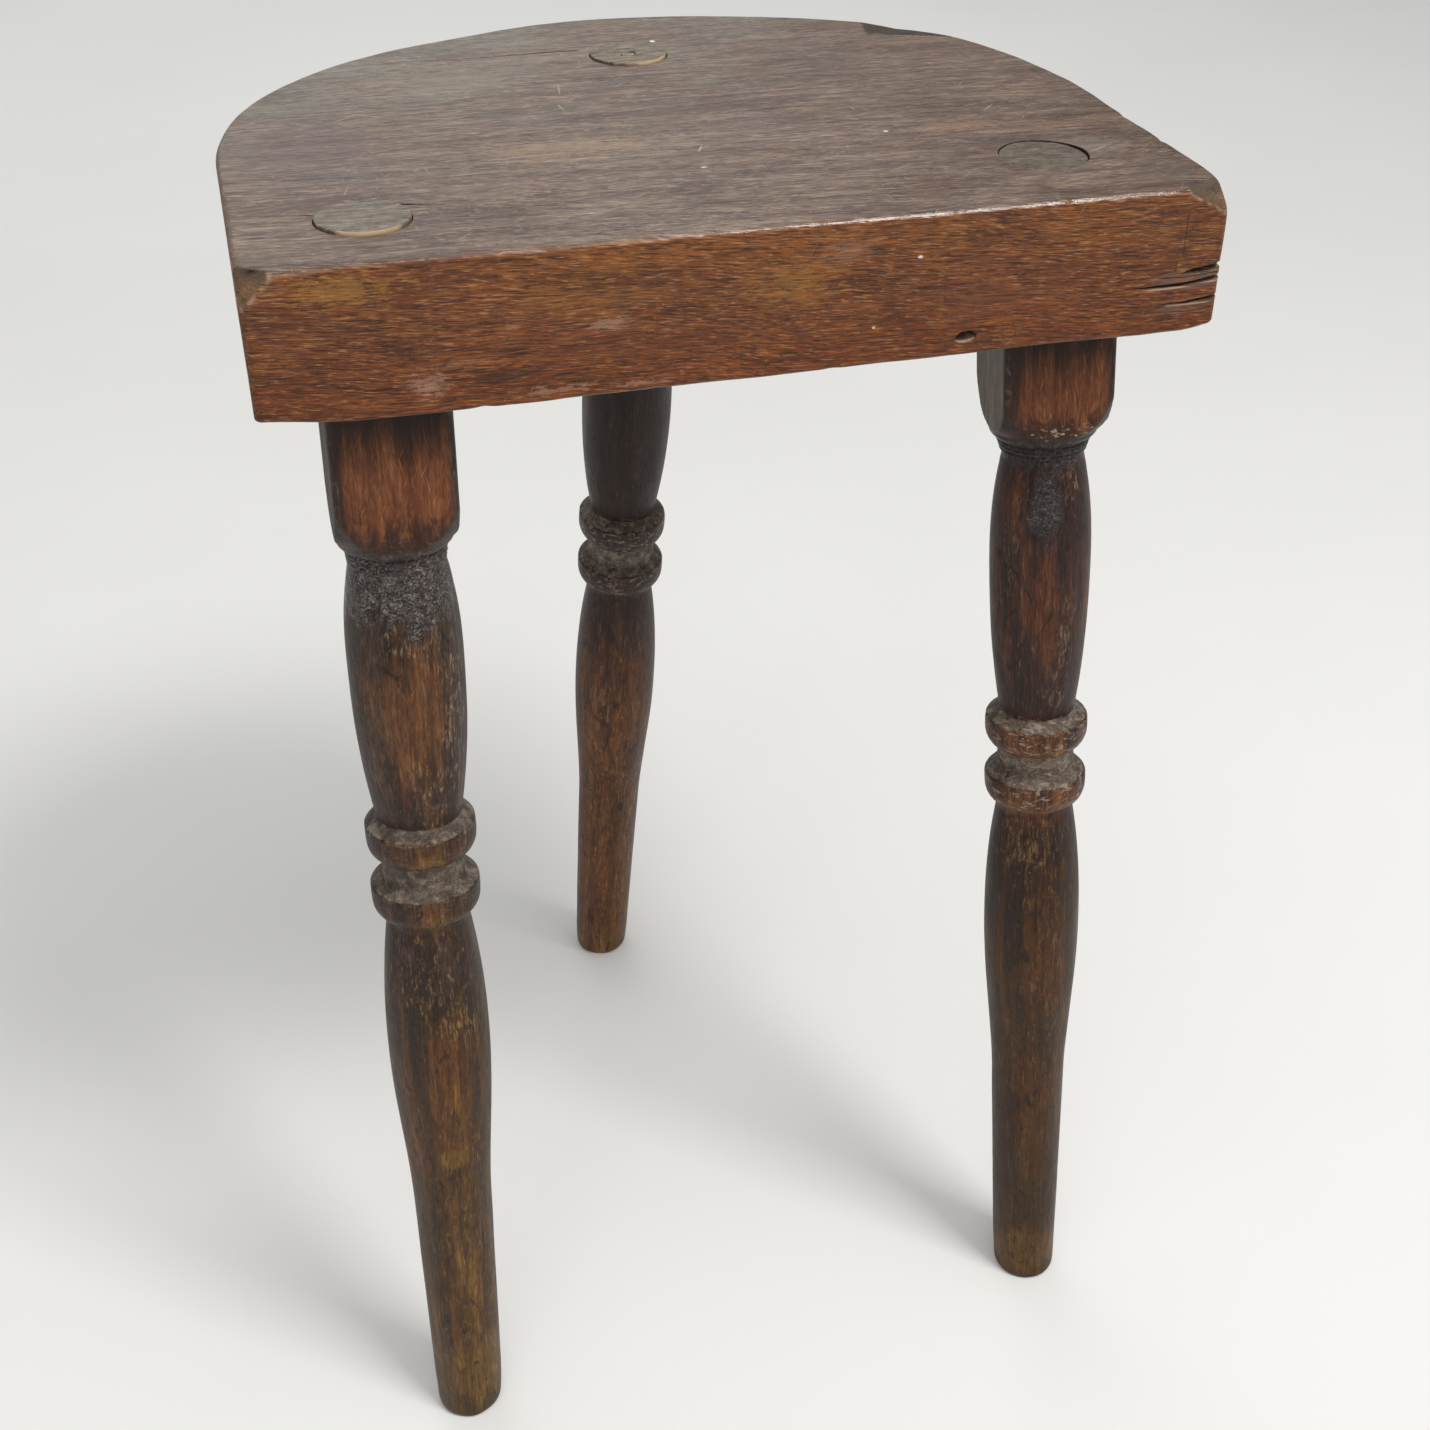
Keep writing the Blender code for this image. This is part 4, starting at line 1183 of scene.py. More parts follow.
# Each is its X and Y, its half length and half width, how ragged, degrees from X, how strong
TOP_SCRATCHES = (
    (-27.6, 30.5, 5.5, 0.32, 0.25, 82.0, 0.55),
    (-30.7, 11.3, 5.0, 0.30, 0.25, 95.0, 0.50),
    (-26.0, 19.0, 3.2, 0.28, 0.25, 55.0, 0.40),
    (-96.3, 16.4, 6.0, 0.32, 0.25, 38.0, 0.55),
    (-92.0, 19.0, 5.0, 0.28, 0.25, -35.0, 0.45),
    (0.3, -40.0, 3.6, 0.38, 0.25, 66.0, 0.75),
    (2.2, -38.6, 1.8, 0.30, 0.25, 20.0, 0.60),
    (-50.0, -34.0, 15.0, 0.35, 0.35, 4.0, 0.45),
    (-18.0, -41.0, 12.0, 0.35, 0.35, -3.0, 0.40),
    (-62.0, 28.0, 8.0, 0.30, 0.3, 14.0, 0.40),
    (-10.0, 4.0, 9.0, 0.30, 0.3, 9.0, 0.35),
    (97.5, -21.8, 5.0, 0.30, 0.25, 48.0, 0.45),
    (93.0, -18.0, 4.0, 0.28, 0.25, 20.0, 0.35),
    (114.6, -67.6, 4.5, 0.30, 0.25, 35.0, 0.50),
    (-103.0, -52.0, 4.0, 0.28, 0.25, 75.0, 0.40),
    (52.0, -70.0, 6.0, 0.28, 0.25, 25.0, 0.35),
)


def seat_material():
    g = Graph("seat wood")
    normal = g.node("ShaderNodeNewGeometry").outputs["Normal"]
    up = g.step(g.axis(2, normal), 0.45, 0.85)
    down = g.step(g.times(g.axis(2, normal), -1.0), 0.35, 0.8)
    x, y, z = (g.axis(n) for n in range(3))

    # The grain runs with X, dips a little to the right, and wanders
    slope = g.step(y, -0.11, 0.06, 0.075, 0.0)
    dip = g.times(x, slope)
    lift = g.swayed(dip, g.noise((60.0, 24.0, 24.0), 2.0), 0.006)
    moved = g.node("ShaderNodeCombineXYZ")
    g.feed(moved, "X", x)
    g.feed(moved, "Y", g.add(y, lift))
    g.feed(moved, "Z", g.add(z, lift))
    grain = moved.outputs[0]

    bands = g.noise((130.0, 5.0, 4.0), 4.0, 0.6, 0.0, grain)
    fibres = g.noise((13.0, 0.70, 0.42), 4.0, 0.7, 0.25, grain)
    threads = g.noise((30.0, 0.55, 0.5), 3.0, 0.65, 0.15, grain)
    dashes = g.step(g.noise((4.8, 0.9, 0.40), 2.0, 0.55, 0.4, grain), 0.50, 0.63)
    long_dashes = g.step(g.noise((10.0, 1.0, 0.50), 1.5, 0.5, 0.3, grain), 0.55, 0.66)
    sparks = g.step(g.noise((4.2, 0.8, 0.42), 2.0, 0.5, 0.3, grain), 0.55, 0.67)
    mottle = g.noise((14.0, 8.0, 3.2), 5.0, 0.72, 0.6, grain)
    long_streaks = g.step(g.noise((48.0, 1.7, 1.2), 3.0, 0.6, 0.3, grain), 0.54, 0.64)
    blotches = g.noise((34.0, 26.0, 15.0), 3.0, 0.55, 0.6)
    patches = g.noise((12.0, 9.0, 7.0), 4.0, 0.6, 0.8)
    streaky = g.noise((40.0, 7.0, 6.0), 3.0, 0.6, 0.4, grain)

    # Front and round sides: warm brown under worn varnish, with painted shade darker towards the floor
    tone = g.gain(g.total((bands, 0.3), (fibres, 0.7)), 2.0)
    side = g.tones(tone, (0.058, 0.016, 0.006), (0.140, 0.043, 0.013), (0.232, 0.082, 0.026),
                   (0.41, 0.185, 0.066), ends=(0.10, 0.92))
    higher = g.add(blotches, g.times(g.add(z, -0.412), 9.0))
    side = g.layers(
        side,
        (higher, 0.50, 0.76, 0.50, (0.33, 0.130, 0.020)),
        (patches, 0.50, 0.66, 0.35, (0.185, 0.054, 0.020)),
        (streaky, 0.52, 0.68, 0.55, (0.075, 0.026, 0.012)),
        (mottle, 0.54, 0.66, 0.45, (0.34, 0.160, 0.052)),
        (mottle, 0.46, 0.34, 0.50, (0.060, 0.021, 0.012)),
    )
    side = g.cover(
        side,
        (sparks, 0.55, (0.50, 0.28, 0.14)),
        (dashes, 0.66, (0.046, 0.015, 0.008)),
        (long_dashes, 0.68, (0.026, 0.009, 0.005)),
    )
    side = g.tint(side, 1.0, (0.88, 0.78, 0.65))
    # Painted shade: the front and round sides go darker and less blue towards the floor
    side = g.tint(side, g.step(z, 0.414, 0.392), (0.97, 0.82, 0.60))
    for at_x, at_z, half_x, half_z, ragged, share, tint in FRONT_MARKS:
        mark = g.spot((at_x, FACE_Y, at_z), (half_x, THROUGH, half_z), ragged)
        side = g.cover(side, (mark, share, tint))

    # Top: purplish brown and handled, its grey cast partly dust and partly painted sheen; greener at the
    # back, partly with painted sheen, and darker at the right with painted shade
    tone = g.gain(g.total((bands, 0.34), (fibres, 0.33), (threads, 0.33)), 2.9)
    top = g.tones(tone, (0.052, 0.029, 0.022), (0.118, 0.074, 0.055), (0.195, 0.130, 0.098),
                  (0.41, 0.31, 0.24), ends=(0.10, 0.92))
    top = g.layers(
        top,
        (blotches, 0.45, 0.7, 0.35, (0.18, 0.105, 0.062)),
        (streaky, 0.49, 0.66, 0.6, (0.072, 0.043, 0.036)),
    )
    top = g.mix(g.times(long_streaks, g.step(blotches, 0.38, 0.60, 0.30, 0.85)), top, (0.044, 0.027, 0.024))
    # Partly painted sheen: the top goes greyer and greener towards the back and left
    backward = g.total((g.add(y, -0.02), 3.0), (x, -1.4))
    top = g.layers(
        top,
        (mottle, 0.55, 0.68, 0.40, (0.27, 0.20, 0.145)),
        (mottle, 0.44, 0.32, 0.40, (0.070, 0.043, 0.038)),
        (g.add(backward, g.noise((40.0, 30.0, 30.0), 2.0)), 0.50, 0.95, 0.55, (0.165, 0.176, 0.140)),
    )
    top = g.cover(
        top,
        (dashes, 0.26, (0.044, 0.026, 0.021)),
        (long_dashes, 0.55, (0.036, 0.022, 0.019)),
        (sparks, 0.32, (0.46, 0.36, 0.28)),
    )
    # Painted shade: the top goes darker towards the right
    rightward = g.swayed(g.times(x, 5.0), blotches, 1.5)
    top = g.tint(top, g.step(rightward, 0.0, 0.65), (0.74, 0.66, 0.60))
    for at_x, at_y, half_x, half_y, ragged, share, tint in TOP_MARKS:
        mark = g.spot((at_x, at_y, TOP_Z), (half_x, half_y, THROUGH), ragged)
        top = g.cover(top, (mark, share, tint))
    for at_x, at_y, half_length, half_width, ragged, turn, share in TOP_SCRATCHES:
        mark = g.spot((at_x, at_y, TOP_Z), (half_length, half_width, THROUGH), ragged, turn)
        top = g.cover(top, (mark, share, SCRATCH_COLOUR))
    under = g.mix(0.6, top, (0.14, 0.085, 0.055))

    scratches = g.either(g.lines(25.0, 9.0, 0.5, 0.71), g.lines(-50.0, 6.0, 0.5, 0.73),
                         g.lines(82.0, 7.0, 0.5, 0.725), g.lines(8.0, 22.0, 0.5, 0.68))
    on_front = g.either(g.lines(58.0, 5.0, 0.4, 0.73, "XZ"), g.lines(-20.0, 9.0, 0.35, 0.73, "XZ"))
    scratches = g.times(scratches, g.step(g.noise((30.0, 30.0, 30.0), 2.0), 0.42, 0.58))
    on_front = g.times(on_front, g.step(g.noise((26.0, 26.0, 18.0), 2.0), 0.44, 0.6))
    top = g.cover(top, (scratches, 0.65, (0.46, 0.37, 0.30)))
    side = g.cover(side, (on_front, 0.28, (0.46, 0.27, 0.15)))

    colour = g.mix(up, side, top)
    colour = g.mix(down, colour, under)
    facet = g.ramp(g.gain(g.total((patches, 0.5), (fibres, 0.5)), 2.4), (
        (0.15, (0.050, 0.034, 0.020)), (0.5, (0.135, 0.080, 0.042)), (0.9, (0.30, 0.165, 0.070))))
    facet = g.layers(facet, (z, 0.4250, 0.4285, 0.72, (0.062, 0.052, 0.038)))
    colour = g.cover(colour, (g.attribute("facet"), 0.9, facet))
    worn = g.step(g.swayed(g.attribute("wear"), g.noise((6.0, 2.0, 2.0), 3.0), 0.8), 0.30, 0.75)
    bared = g.mix(sparks, (0.17, 0.066, 0.028), (0.44, 0.26, 0.14))
    # Painted shade darkens the gaps round the tenons and the deep parts of the cuts; the chip is darkened too
    shade_and_dirt = g.step(g.swayed(g.attribute("grime_and_shade"), g.noise((3.0, 3.0, 3.0), 3.0), 0.6), 0.3, 0.9)
    colour = g.cover(colour, (worn, 0.38, bared), (shade_and_dirt, 0.85, (0.040, 0.027, 0.020)))
    # Painted shade: the walls inside the cracks, mortises and hole are painted nearly black
    sides_only = g.times(g.add(1.0, g.times(up, -1.0)), g.add(1.0, g.times(down, -1.0)))
    in_cracks = g.times(g.attribute("inner"), g.times(sides_only, 0.93))
    colour = g.mix(in_cracks, colour, (0.016, 0.011, 0.009))
    # The corner facets' pale ragged edges, and painted light on the hole's lower lip
    colour = g.mix(g.attribute("pale"), colour, g.ramp(fibres, (
        (0.3, (0.30, 0.19, 0.135)), (0.7, (0.60, 0.46, 0.37)))))

    polish = g.step(x, -0.035, 0.0, -0.14, -0.40)
    rough = g.total((g.gain(fibres, 1.5), 0.26), (g.gain(patches, 1.5), 0.10), (scratches, 0.12),
                    (worn, polish), (shade_and_dirt, 0.3), base=0.30, clamp=True)
    height = g.total((fibres, 0.9), (dashes, -0.35), (long_dashes, -0.4), (scratches, -0.4),
                     (patches, 0.8))
    height = g.times(height, g.add(1.0, g.times(worn, -0.85)))
    return g.finished(colour, rough, g.bump(height, 0.25 * MM, 0.8), SEAT_SPECULAR)


# The tones of the dust on the legs: where each comes along its ramp, and its colour
DUST_TONES = ((0.1, (0.034, 0.026, 0.021)), (0.5, (0.108, 0.086, 0.067)), (0.9, (0.30, 0.255, 0.205)))


def leg_material(leg):
    """Dark turned wood: the colours change down the leg, with its worn and grimy places and painted shade
    close under the seat.
    """
    g = Graph(f"{leg['name']} wood", places="local")
    g.seed = leg["seed"]
    below = g.times(g.axis(2), -1.0)
    block = leg["block"] * MM

    bands = g.noise((4.0, 4.0, 70.0), 4.0, 0.65, 0.3)
    fibres = g.noise((0.6, 0.6, 9.0), 4.0, 0.7, 0.25)
    dashes = g.step(g.noise((0.7, 0.7, 6.0), 1.5, 0.5, 0.4), 0.54, 0.70)
    blotches = g.noise((10.0, 10.0, 22.0), 4.0, 0.65, 1.0)
    stains = g.noise((7.0, 7.0, 15.0), 5.0, 0.7, 1.5)
    flakes = g.noise((1.5, 1.5, 4.0), 4.0, 0.7, 0.8)
    dust = g.noise((4.0, 4.0, 4.0), 4.0, 0.65, 0.5)
    crackle = g.noise((1.5, 1.5, 1.1), 4.0, 0.7, 1.6)

    # Turned wood: nearly black varnish, rubbed through to brown, gold and tan
    tone = g.gain(g.total((bands, 0.36), (fibres, 0.40), (flakes, 0.24)), 3.0)
    dark = g.tones(tone, (0.011, 0.007, 0.006), (0.030, 0.018, 0.014), (0.052, 0.031, 0.024),
                   (0.115, 0.074, 0.052))
    lower_dark = g.tones(tone, (0.024, 0.013, 0.006), (0.056, 0.032, 0.014), (0.084, 0.050, 0.021),
                         (0.16, 0.104, 0.047))
    faded = g.swayed(below, blotches, 0.12)
    dark = g.mix(g.step(faded, 0.195, 0.275), dark, lower_dark)
    rubbed = g.tones(tone, (0.045, 0.017, 0.008), (0.088, 0.037, 0.015), (0.135, 0.060, 0.024),
                     (0.25, 0.135, 0.060))
    golden = g.tones(tone, (0.055, 0.030, 0.009), (0.130, 0.075, 0.022), (0.195, 0.118, 0.036),
                     (0.36, 0.24, 0.090))
    ragged = g.total((g.add(blotches, -0.5), 1.1), (g.add(bands, -0.5), 0.9))
    warm = g.step(g.add(g.attribute("warm"), ragged), 0.12, 0.80)
    gold = g.step(g.add(g.attribute("gold"), ragged), 0.22, 0.85)
    turned = g.mix(warm, dark, rubbed)
    turned = g.cover(turned, (gold, 0.9, golden))
    flecks = g.total((flakes, 0.7), (fibres, 0.3), (g.add(g.attribute("flecks"), -1.0), 0.130))
    turned = g.layers(turned, (flecks, 0.470, 0.580, 0.80, g.ramp(fibres, (
        (0.35, (0.13, 0.092, 0.052)), (0.65, (0.31, 0.24, 0.15))))))
    turned = g.mix(g.step(stains, 0.34, 0.45, 0.75, 0.0), turned, (0.011, 0.007, 0.007))
    # The back leg's dark upper tint is partly painted shade under the seat
    tints = g.mix(g.step(faded, 0.150, 0.215), leg["upper_tint"], leg["lower_tint"])
    on_rings = g.between(below, 0.137, 0.141, 0.171, 0.176)
    tints = g.mix(on_rings, tints, leg["ring_tint"])
    turned = g.tint(turned, 1.0, tints)
    mottled = g.noise((5.5, 5.5, 13.0), 4.0, 0.65, 1.0)
    turned = g.layers(turned, (mottled, 0.53, 0.66, 0.32, g.tint(turned, 1.0, (2.1, 2.1, 1.9))))
    turned = g.layers(turned, (mottled, 0.46, 0.35, 0.38, g.tint(turned, 1.0, (0.45, 0.42, 0.42))))

    # The square block's faces keep their red-brown, with painted shade close under the seat
    square = g.tones(tone, (0.060, 0.014, 0.006), (0.122, 0.036, 0.013), (0.168, 0.054, 0.018),
                     (0.30, 0.120, 0.047))
    square = g.layers(square, (g.swayed(blotches, bands, 0.6), 0.50, 0.66, 0.65, (0.060, 0.022, 0.013)))
    nicks = g.either(g.lines(64.0, 5.0, 0.35, 0.71, "XZ"), g.lines(100.0, 9.0, 0.35, 0.68, "XZ"))
    square = g.cover(square, (nicks, 0.5, (0.42, 0.19, 0.09)))
    low_stains = g.swayed(below, stains, 0.030)
    # Painted shade: the block's faces go nearly black close under the seat; dark stains lie low on the block
    square = g.layers(
        square,
        (g.swayed(below, bands, 0.03), 0.024, 0.006, 0.94, (0.012, 0.006, 0.005)),
        (low_stains, block - 0.011, block - 0.003, 0.80, (0.018, 0.010, 0.008)),
    )
    edge_chips = g.step(g.noise((2.0, 2.0, 0.8), 3.0, 0.6, 0.5), 0.56, 0.62)
    edge_chips = g.times(edge_chips, g.step(below, block - 0.006, block - 0.003, 0.0, leg["ring_wear"]))
    square = g.mix(edge_chips, square, (0.42, 0.33, 0.22))
    drips = g.step(g.noise((1.5, 1.5, 60.0), 2.0), 0.50, 0.62, 0.0, 0.70)
    drips = g.times(drips, g.step(g.axis(0), leg["drips_to"] * MM, (leg["drips_to"] - 4.0) * MM))
    square = g.mix(drips, square, (0.026, 0.015, 0.012))
    left_face = g.step(g.axis(0), -0.0158, -0.0168, 0.0, 0.85)
    square = g.mix(left_face, square, g.ramp(tone, tuple(
        (at, tuple(strength * part for part in leg["side_tint"]))
        for at, strength in ((0.2, 0.55), (0.5, 1.0), (0.8, 1.45)))))
    flat = g.attribute("flat")
    colour = g.mix(flat, turned, square)
    colour = g.mix(g.times(dashes, g.step(flat, 0.2, 0.8, 0.36, 0.22)), colour, (0.010, 0.006, 0.005))

    # Thick old varnish, cracked like a hide, lies in the neck
    hidden = g.step(g.swayed(g.attribute("hide"), stains, 1.3), 0.35, 0.62)
    neck = g.times(g.times(g.step(below, block - 0.001, block + 0.003), hidden), 0.92)
    hide = g.ramp(crackle, (
        (0.36, (0.008, 0.006, 0.007)), (0.48, (0.030, 0.024, 0.025)),
        (0.56, (0.100, 0.083, 0.078)), (0.66, (0.34, 0.29, 0.24))))
    hide = g.mix(1.0 - leg["crackle"], hide, (0.011, 0.009, 0.012))
    hide = g.layers(hide, (blotches, 0.48, 0.62, 0.35, (0.060, 0.034, 0.042)))
    colour = g.mix(neck, colour, hide)

    # The rings' arrises are rubbed bare, and dust lies on their shoulders
    worn = g.step(g.swayed(g.attribute("wear"), stains, 1.6), 0.35, 0.80)
    colour = g.cover(colour, (worn, 0.85, g.ramp(tone, (
        (0.2, (0.070, 0.036, 0.022)), (0.5, (0.150, 0.090, 0.055)), (0.8, (0.42, 0.33, 0.24))))))
    dusty = g.step(g.swayed(g.attribute("grime_and_shade"), dust, 1.5), 0.3, 0.85)
    powder = g.gain(g.total((dust, 0.6), (crackle, 0.4)), 2.6)
    paler = 1.0 + 0.30 * leg["ring_wear"]
    colour = g.cover(colour, (dusty, 0.85 - 0.20 * leg["ring_wear"], g.ramp(powder, tuple(
        (at, tuple(part * paler for part in tint)) for at, tint in DUST_TONES))))
    chips = g.step(g.noise((3.2, 3.2, 1.3), 4.0, 0.65, 0.8), 0.55, 0.63)
    chips = g.times(chips, g.between(below, 0.136, 0.139, 0.170, 0.175))
    colour = g.cover(colour, (chips, 0.8 * leg["ring_wear"], (0.36, 0.29, 0.22)))

    end = g.attribute("end")
    smears = g.noise((9.0, 1.3, 2.0), 4.0, 0.65, 0.5)
    end_tone = g.gain(g.total((smears, 0.7), (g.noise((3.0, 3.0, 3.0), 4.0, 0.65), 0.3)), 2.6)
    colour = g.mix(end, colour, g.ramp(end_tone, tuple(
        (at, tuple(strength * part for part in leg["end_tint"]))
        for at, strength in ((0.1, 0.35), (0.5, 1.0), (0.9, 1.9)))))
    colour = g.mix(g.attribute("raw"), colour, (0.44, 0.31, 0.185))

    rough = g.total((g.gain(blotches, 1.6), 0.26), (dusty, 0.25), (worn, -0.20), (neck, -0.18),
                    (flat, 0.14), (end, 0.15), base=0.30, clamp=True)
    height = g.total((fibres, 0.8), (dashes, -0.35), (g.times(crackle, neck), 2.4), (flakes, 0.7))
    return g.finished(colour, rough, g.bump(height, 0.30 * MM, 0.9), LEG_SPECULAR)


def nail_material():
    g = Graph("nail iron")
    rust = g.noise((0.7, 0.7, 0.7), 4.0, 0.6)
    g.feed(g.shader, "Base Color", g.ramp(rust, (
        (0.35, (0.32, 0.31, 0.30)), (0.55, (0.20, 0.17, 0.15)), (0.75, (0.07, 0.035, 0.02)))))
    g.feed(g.shader, "Roughness", g.step(rust, 0.3, 0.7, 0.22, 0.6))
    g.shader.inputs["Metallic"].default_value = 1.0
    g.feed(g.shader, "Normal", g.bump(g.noise((0.35, 0.35, 0.35), 3.0), 0.08 * MM, 0.6))
    return g.material


# Making the pieces -------------------------------------------------------------------

# Edges sharper than this many degrees stay sharp in the shading
SEAT_SHARP = 42.0
LEG_SHARP = 50.0
NAIL_SHARP = 40.0


def make_seat():
    """The seat's visual piece, with the masks that its material reads."""
    rows, poles = seat_surface()
    seat = new_piece("seat_plank", closed_grid("seat_plank", rows, poles[0], poles[1]))
    cut(seat, [mortise(leg) for leg in LEGS] + [oval_hole()] + seat_splits())
    p = positions(seat)
    seat.data.vertices.foreach_set("co", wear_seat(p).astype(np.float32).ravel())
    seat.data.update()
    smooth_shading(seat, SEAT_SHARP)

    # The masks go by where each point was before the wear
    reach = np.hypot(p[:, 0], p[:, 1] - ROUND_CENTRE_Y)
    angle = np.arctan2(p[:, 1] - ROUND_CENTRE_Y, p[:, 0])
    inside = np.where(p[:, 1] > ROUND_CENTRE_Y, round_radius(angle) - reach, HALF_WIDTH - np.abs(p[:, 0]))
    front = p[:, 1] - FRONT_Y
    inside_all = np.minimum(inside, front)
    from_top = SEAT_TOP - p[:, 2]
    from_low = p[:, 2] - UNDERSIDE
    in_front = fall(front, 3.0 * MM, 5.0 * MM)
    top_edge = hump(np.maximum(inside_all, from_top), 1.25 * MM) * (0.35 + 0.65 * in_front)
    low_edge = hump(np.maximum(inside_all, from_low), 1.6 * MM) * (0.25 + 0.3 * in_front)
    upright = hump(np.maximum(front, HALF_WIDTH - np.abs(p[:, 0])), 1.8 * MM) * 0.5
    wear = np.maximum.reduce([top_edge, low_edge, upright])
    grime_and_shade = np.zeros(len(p))
    facet = np.zeros(len(p))
    edge_of_facet = np.zeros(len(p))
    for place, normal, _ in CORNER_FACETS:
        over = (p - place) @ normal
        facet = np.maximum(facet, rise(over, -0.1 * MM, 0.5 * MM))
        at_edge = hump(over + 0.1 * MM, 0.4 * MM) * rise(from_top, 0.3 * MM, 1.5 * MM)
        at_edge *= rise(lumps(p, 1.6, 21), -0.45, 0.25)
        edge_of_facet = np.maximum(edge_of_facet, 0.5 * at_edge)
    paint(seat, "facet", facet)
    paint(seat, "inner", rise(inside_all, 1.5 * MM, 2.5 * MM))
    # Painted shade on the mortise walls just below the top, in the gap round each tenon
    for leg in LEGS:
        centre = np.array(leg["tenon_top"]) * MM
        away = np.hypot(p[:, 0] - centre[0], p[:, 1] - centre[1])
        in_gap = rise(from_top, 0.15 * MM, 0.6 * MM) * (away < 14.5 * MM) * (from_low > 1 * MM)
        grime_and_shade = np.maximum(grime_and_shade, in_gap)
    # Painted shade deep inside the cracks, mortises and hole
    deep = (inside_all > 0.9 * MM) & (from_top > 0.9 * MM) & (from_low > 0.9 * MM)
    grime_and_shade = np.maximum(grime_and_shade, deep * 0.9)
    chip = rise(chip_reach(p), -0.3 * MM, 0.5 * MM) * fall(from_top, 3 * MM, 9 * MM)
    grime_and_shade = np.maximum(grime_and_shade, chip * 0.85)
    # Painted light: the hole's lower lip, just inside its mouth, is made pale and kept clear of the painted
    # shade
    hole_z = SEAT_TOP - HOLE_BELOW_TOP
    hole = np.hypot((p[:, 0] - HOLE_X) / (3.8 * MM), (p[:, 2] - hole_z) / (2.6 * MM))
    lip = (hole < 1.2) * rise(front, 0.05 * MM, 0.4 * MM) * fall(front, 3.2 * MM, 5.0 * MM)
    lip = lip * fall(p[:, 2], hole_z - 0.9 * MM, hole_z)
    grime_and_shade = grime_and_shade * (1.0 - lip)
    paint(seat, "pale", np.maximum(lip, edge_of_facet))
    wear = wear * (1.0 - chip) * (1.0 - 0.7 * facet)
    paint(seat, "wear", wear)
    paint(seat, "grime_and_shade", grime_and_shade)
    seat.data.materials.clear()
    seat.data.materials.append(seat_material())
    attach(seat, "root")
    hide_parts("seat")


def make_leg(leg):
    """One leg's visual piece, with the masks that its material reads."""
    matrix, rows, foot_pole, pole = leg_rows(leg)
    name = f"turned_{leg['name']}"
    low, high = np.array(CAD_BOX[0]), np.array(CAD_BOX[1])
    piece = new_piece(name, closed_grid(name, np.clip(rows, low, high), foot_pole, pole))
    if leg["name"] == "leg_back":
        cut(piece, [capped_piece("nail pocket", nail_rows(0.15 * MM, 4.0 * MM))])
    smooth_shading(piece, LEG_SHARP)

    p = positions(piece)
    local = (p - np.array(matrix.translation)) @ np.array(matrix)[:3, :3]
    paint_places(piece, "local", local)
    below = -local[:, 2]
    radius = np.hypot(local[:, 0], local[:, 1])
    angle = np.arctan2(local[:, 1], local[:, 0])
    block = leg["block"] * MM
    face = np.maximum(np.abs(local[:, 0]), np.abs(local[:, 1]))
    other = np.minimum(np.abs(local[:, 0]), np.abs(local[:, 1]))
    flat = rise(face, STOCK - 0.45 * MM, STOCK - 0.2 * MM) * fall(other, STOCK - 3.2 * MM, STOCK - 1.6 * MM)
    flat *= fall(below, block - 0.8 * MM, block + 0.5 * MM)
    paint(piece, "flat", flat)
    degrees = np.degrees(angle) + leg["twist"] - leg["handled"]
    for kind, zones in LEG_ZONES[leg["name"]].items():
        paint(piece, kind, worn_zones(zones, degrees, below))

    wear = np.zeros(len(p))
    # On the legs this mask holds only dust: on the rings' shoulders, between the rings and at the block's
    # corners
    grime_and_shade = np.zeros(len(p))
    for start in RING_STARTS:
        band = rise(radius, RING_RADIUS - 0.9 * MM, RING_RADIUS - 0.1 * MM)
        arris = hump(below - start - 0.3 * MM, 0.9 * MM)
        wear = np.maximum(wear, (0.48 + 0.35 * leg["ring_wear"]) * band * arris)
        shoulder = rise(below, start - 4 * MM, start - 2 * MM)
        shoulder = shoulder * fall(below, start - 0.6 * MM, start + 0.6 * MM)
        grime_and_shade = np.maximum(grime_and_shade, shoulder * 0.9)
    grime_and_shade = np.maximum(grime_and_shade, 0.85 * rise(below, RING_STARTS[0] + 9 * MM, RING_STARTS[0] + 12 * MM)
                       * fall(below, RING_STARTS[1] - 1 * MM, RING_STARTS[1]))
    corner = (rise(below, 0.0, 2 * MM) * fall(below, block - 4 * MM, block)
              * rise(other, STOCK - 2.6 * MM, STOCK - 1.2 * MM))
    grime_and_shade = np.maximum(grime_and_shade, 0.35 * corner)
    paint(piece, "wear", wear)
    paint(piece, "grime_and_shade", grime_and_shade)
    end = rise(p[:, 2], SEAT_TOP - 1.4 * MM, SEAT_TOP - 1.0 * MM)
    paint(piece, "end", end)
    facing = np.clip(np.cos(angle + math.pi / 2.0 - leg["rim_at"]), 0.0, 1.0)
    from_tenon = np.hypot(*(p[:, :2] - np.array(leg["tenon_top"]) * MM).T)
    rim = rise(from_tenon, TENON_RADIUS - 0.75 * MM, TENON_RADIUS - 0.5 * MM)
    ragged = 0.14 * lumps(p, 3, leg["seed"] + 13)
    raw = end * rim * rise(facing + ragged, 0.72, 0.86) * (leg["rim_at"] != NO_BARE_RIM)
    paint(piece, "raw", raw)
    piece.data.materials.clear()
    piece.data.materials.append(leg_material(leg))
    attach(piece, "root")
    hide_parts(leg["name"])


def make_nail():
    nail = capped_piece("cut_nail", nail_rows(0.0, 0.0))
    smooth_shading(nail, NAIL_SHARP)
    nail.data.materials.append(nail_material())
    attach(nail, "root")
    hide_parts("tenon_nail")


# Floor, lights and camera ------------------------------------------------------------


FLOOR_HALF = 6.0
WORLD_COLOUR = (0.98, 0.985, 0.985, 1.0)
WORLD_STRENGTH = 0.40
STOOL_MIDDLE = (0.0, 0.0, 0.3)
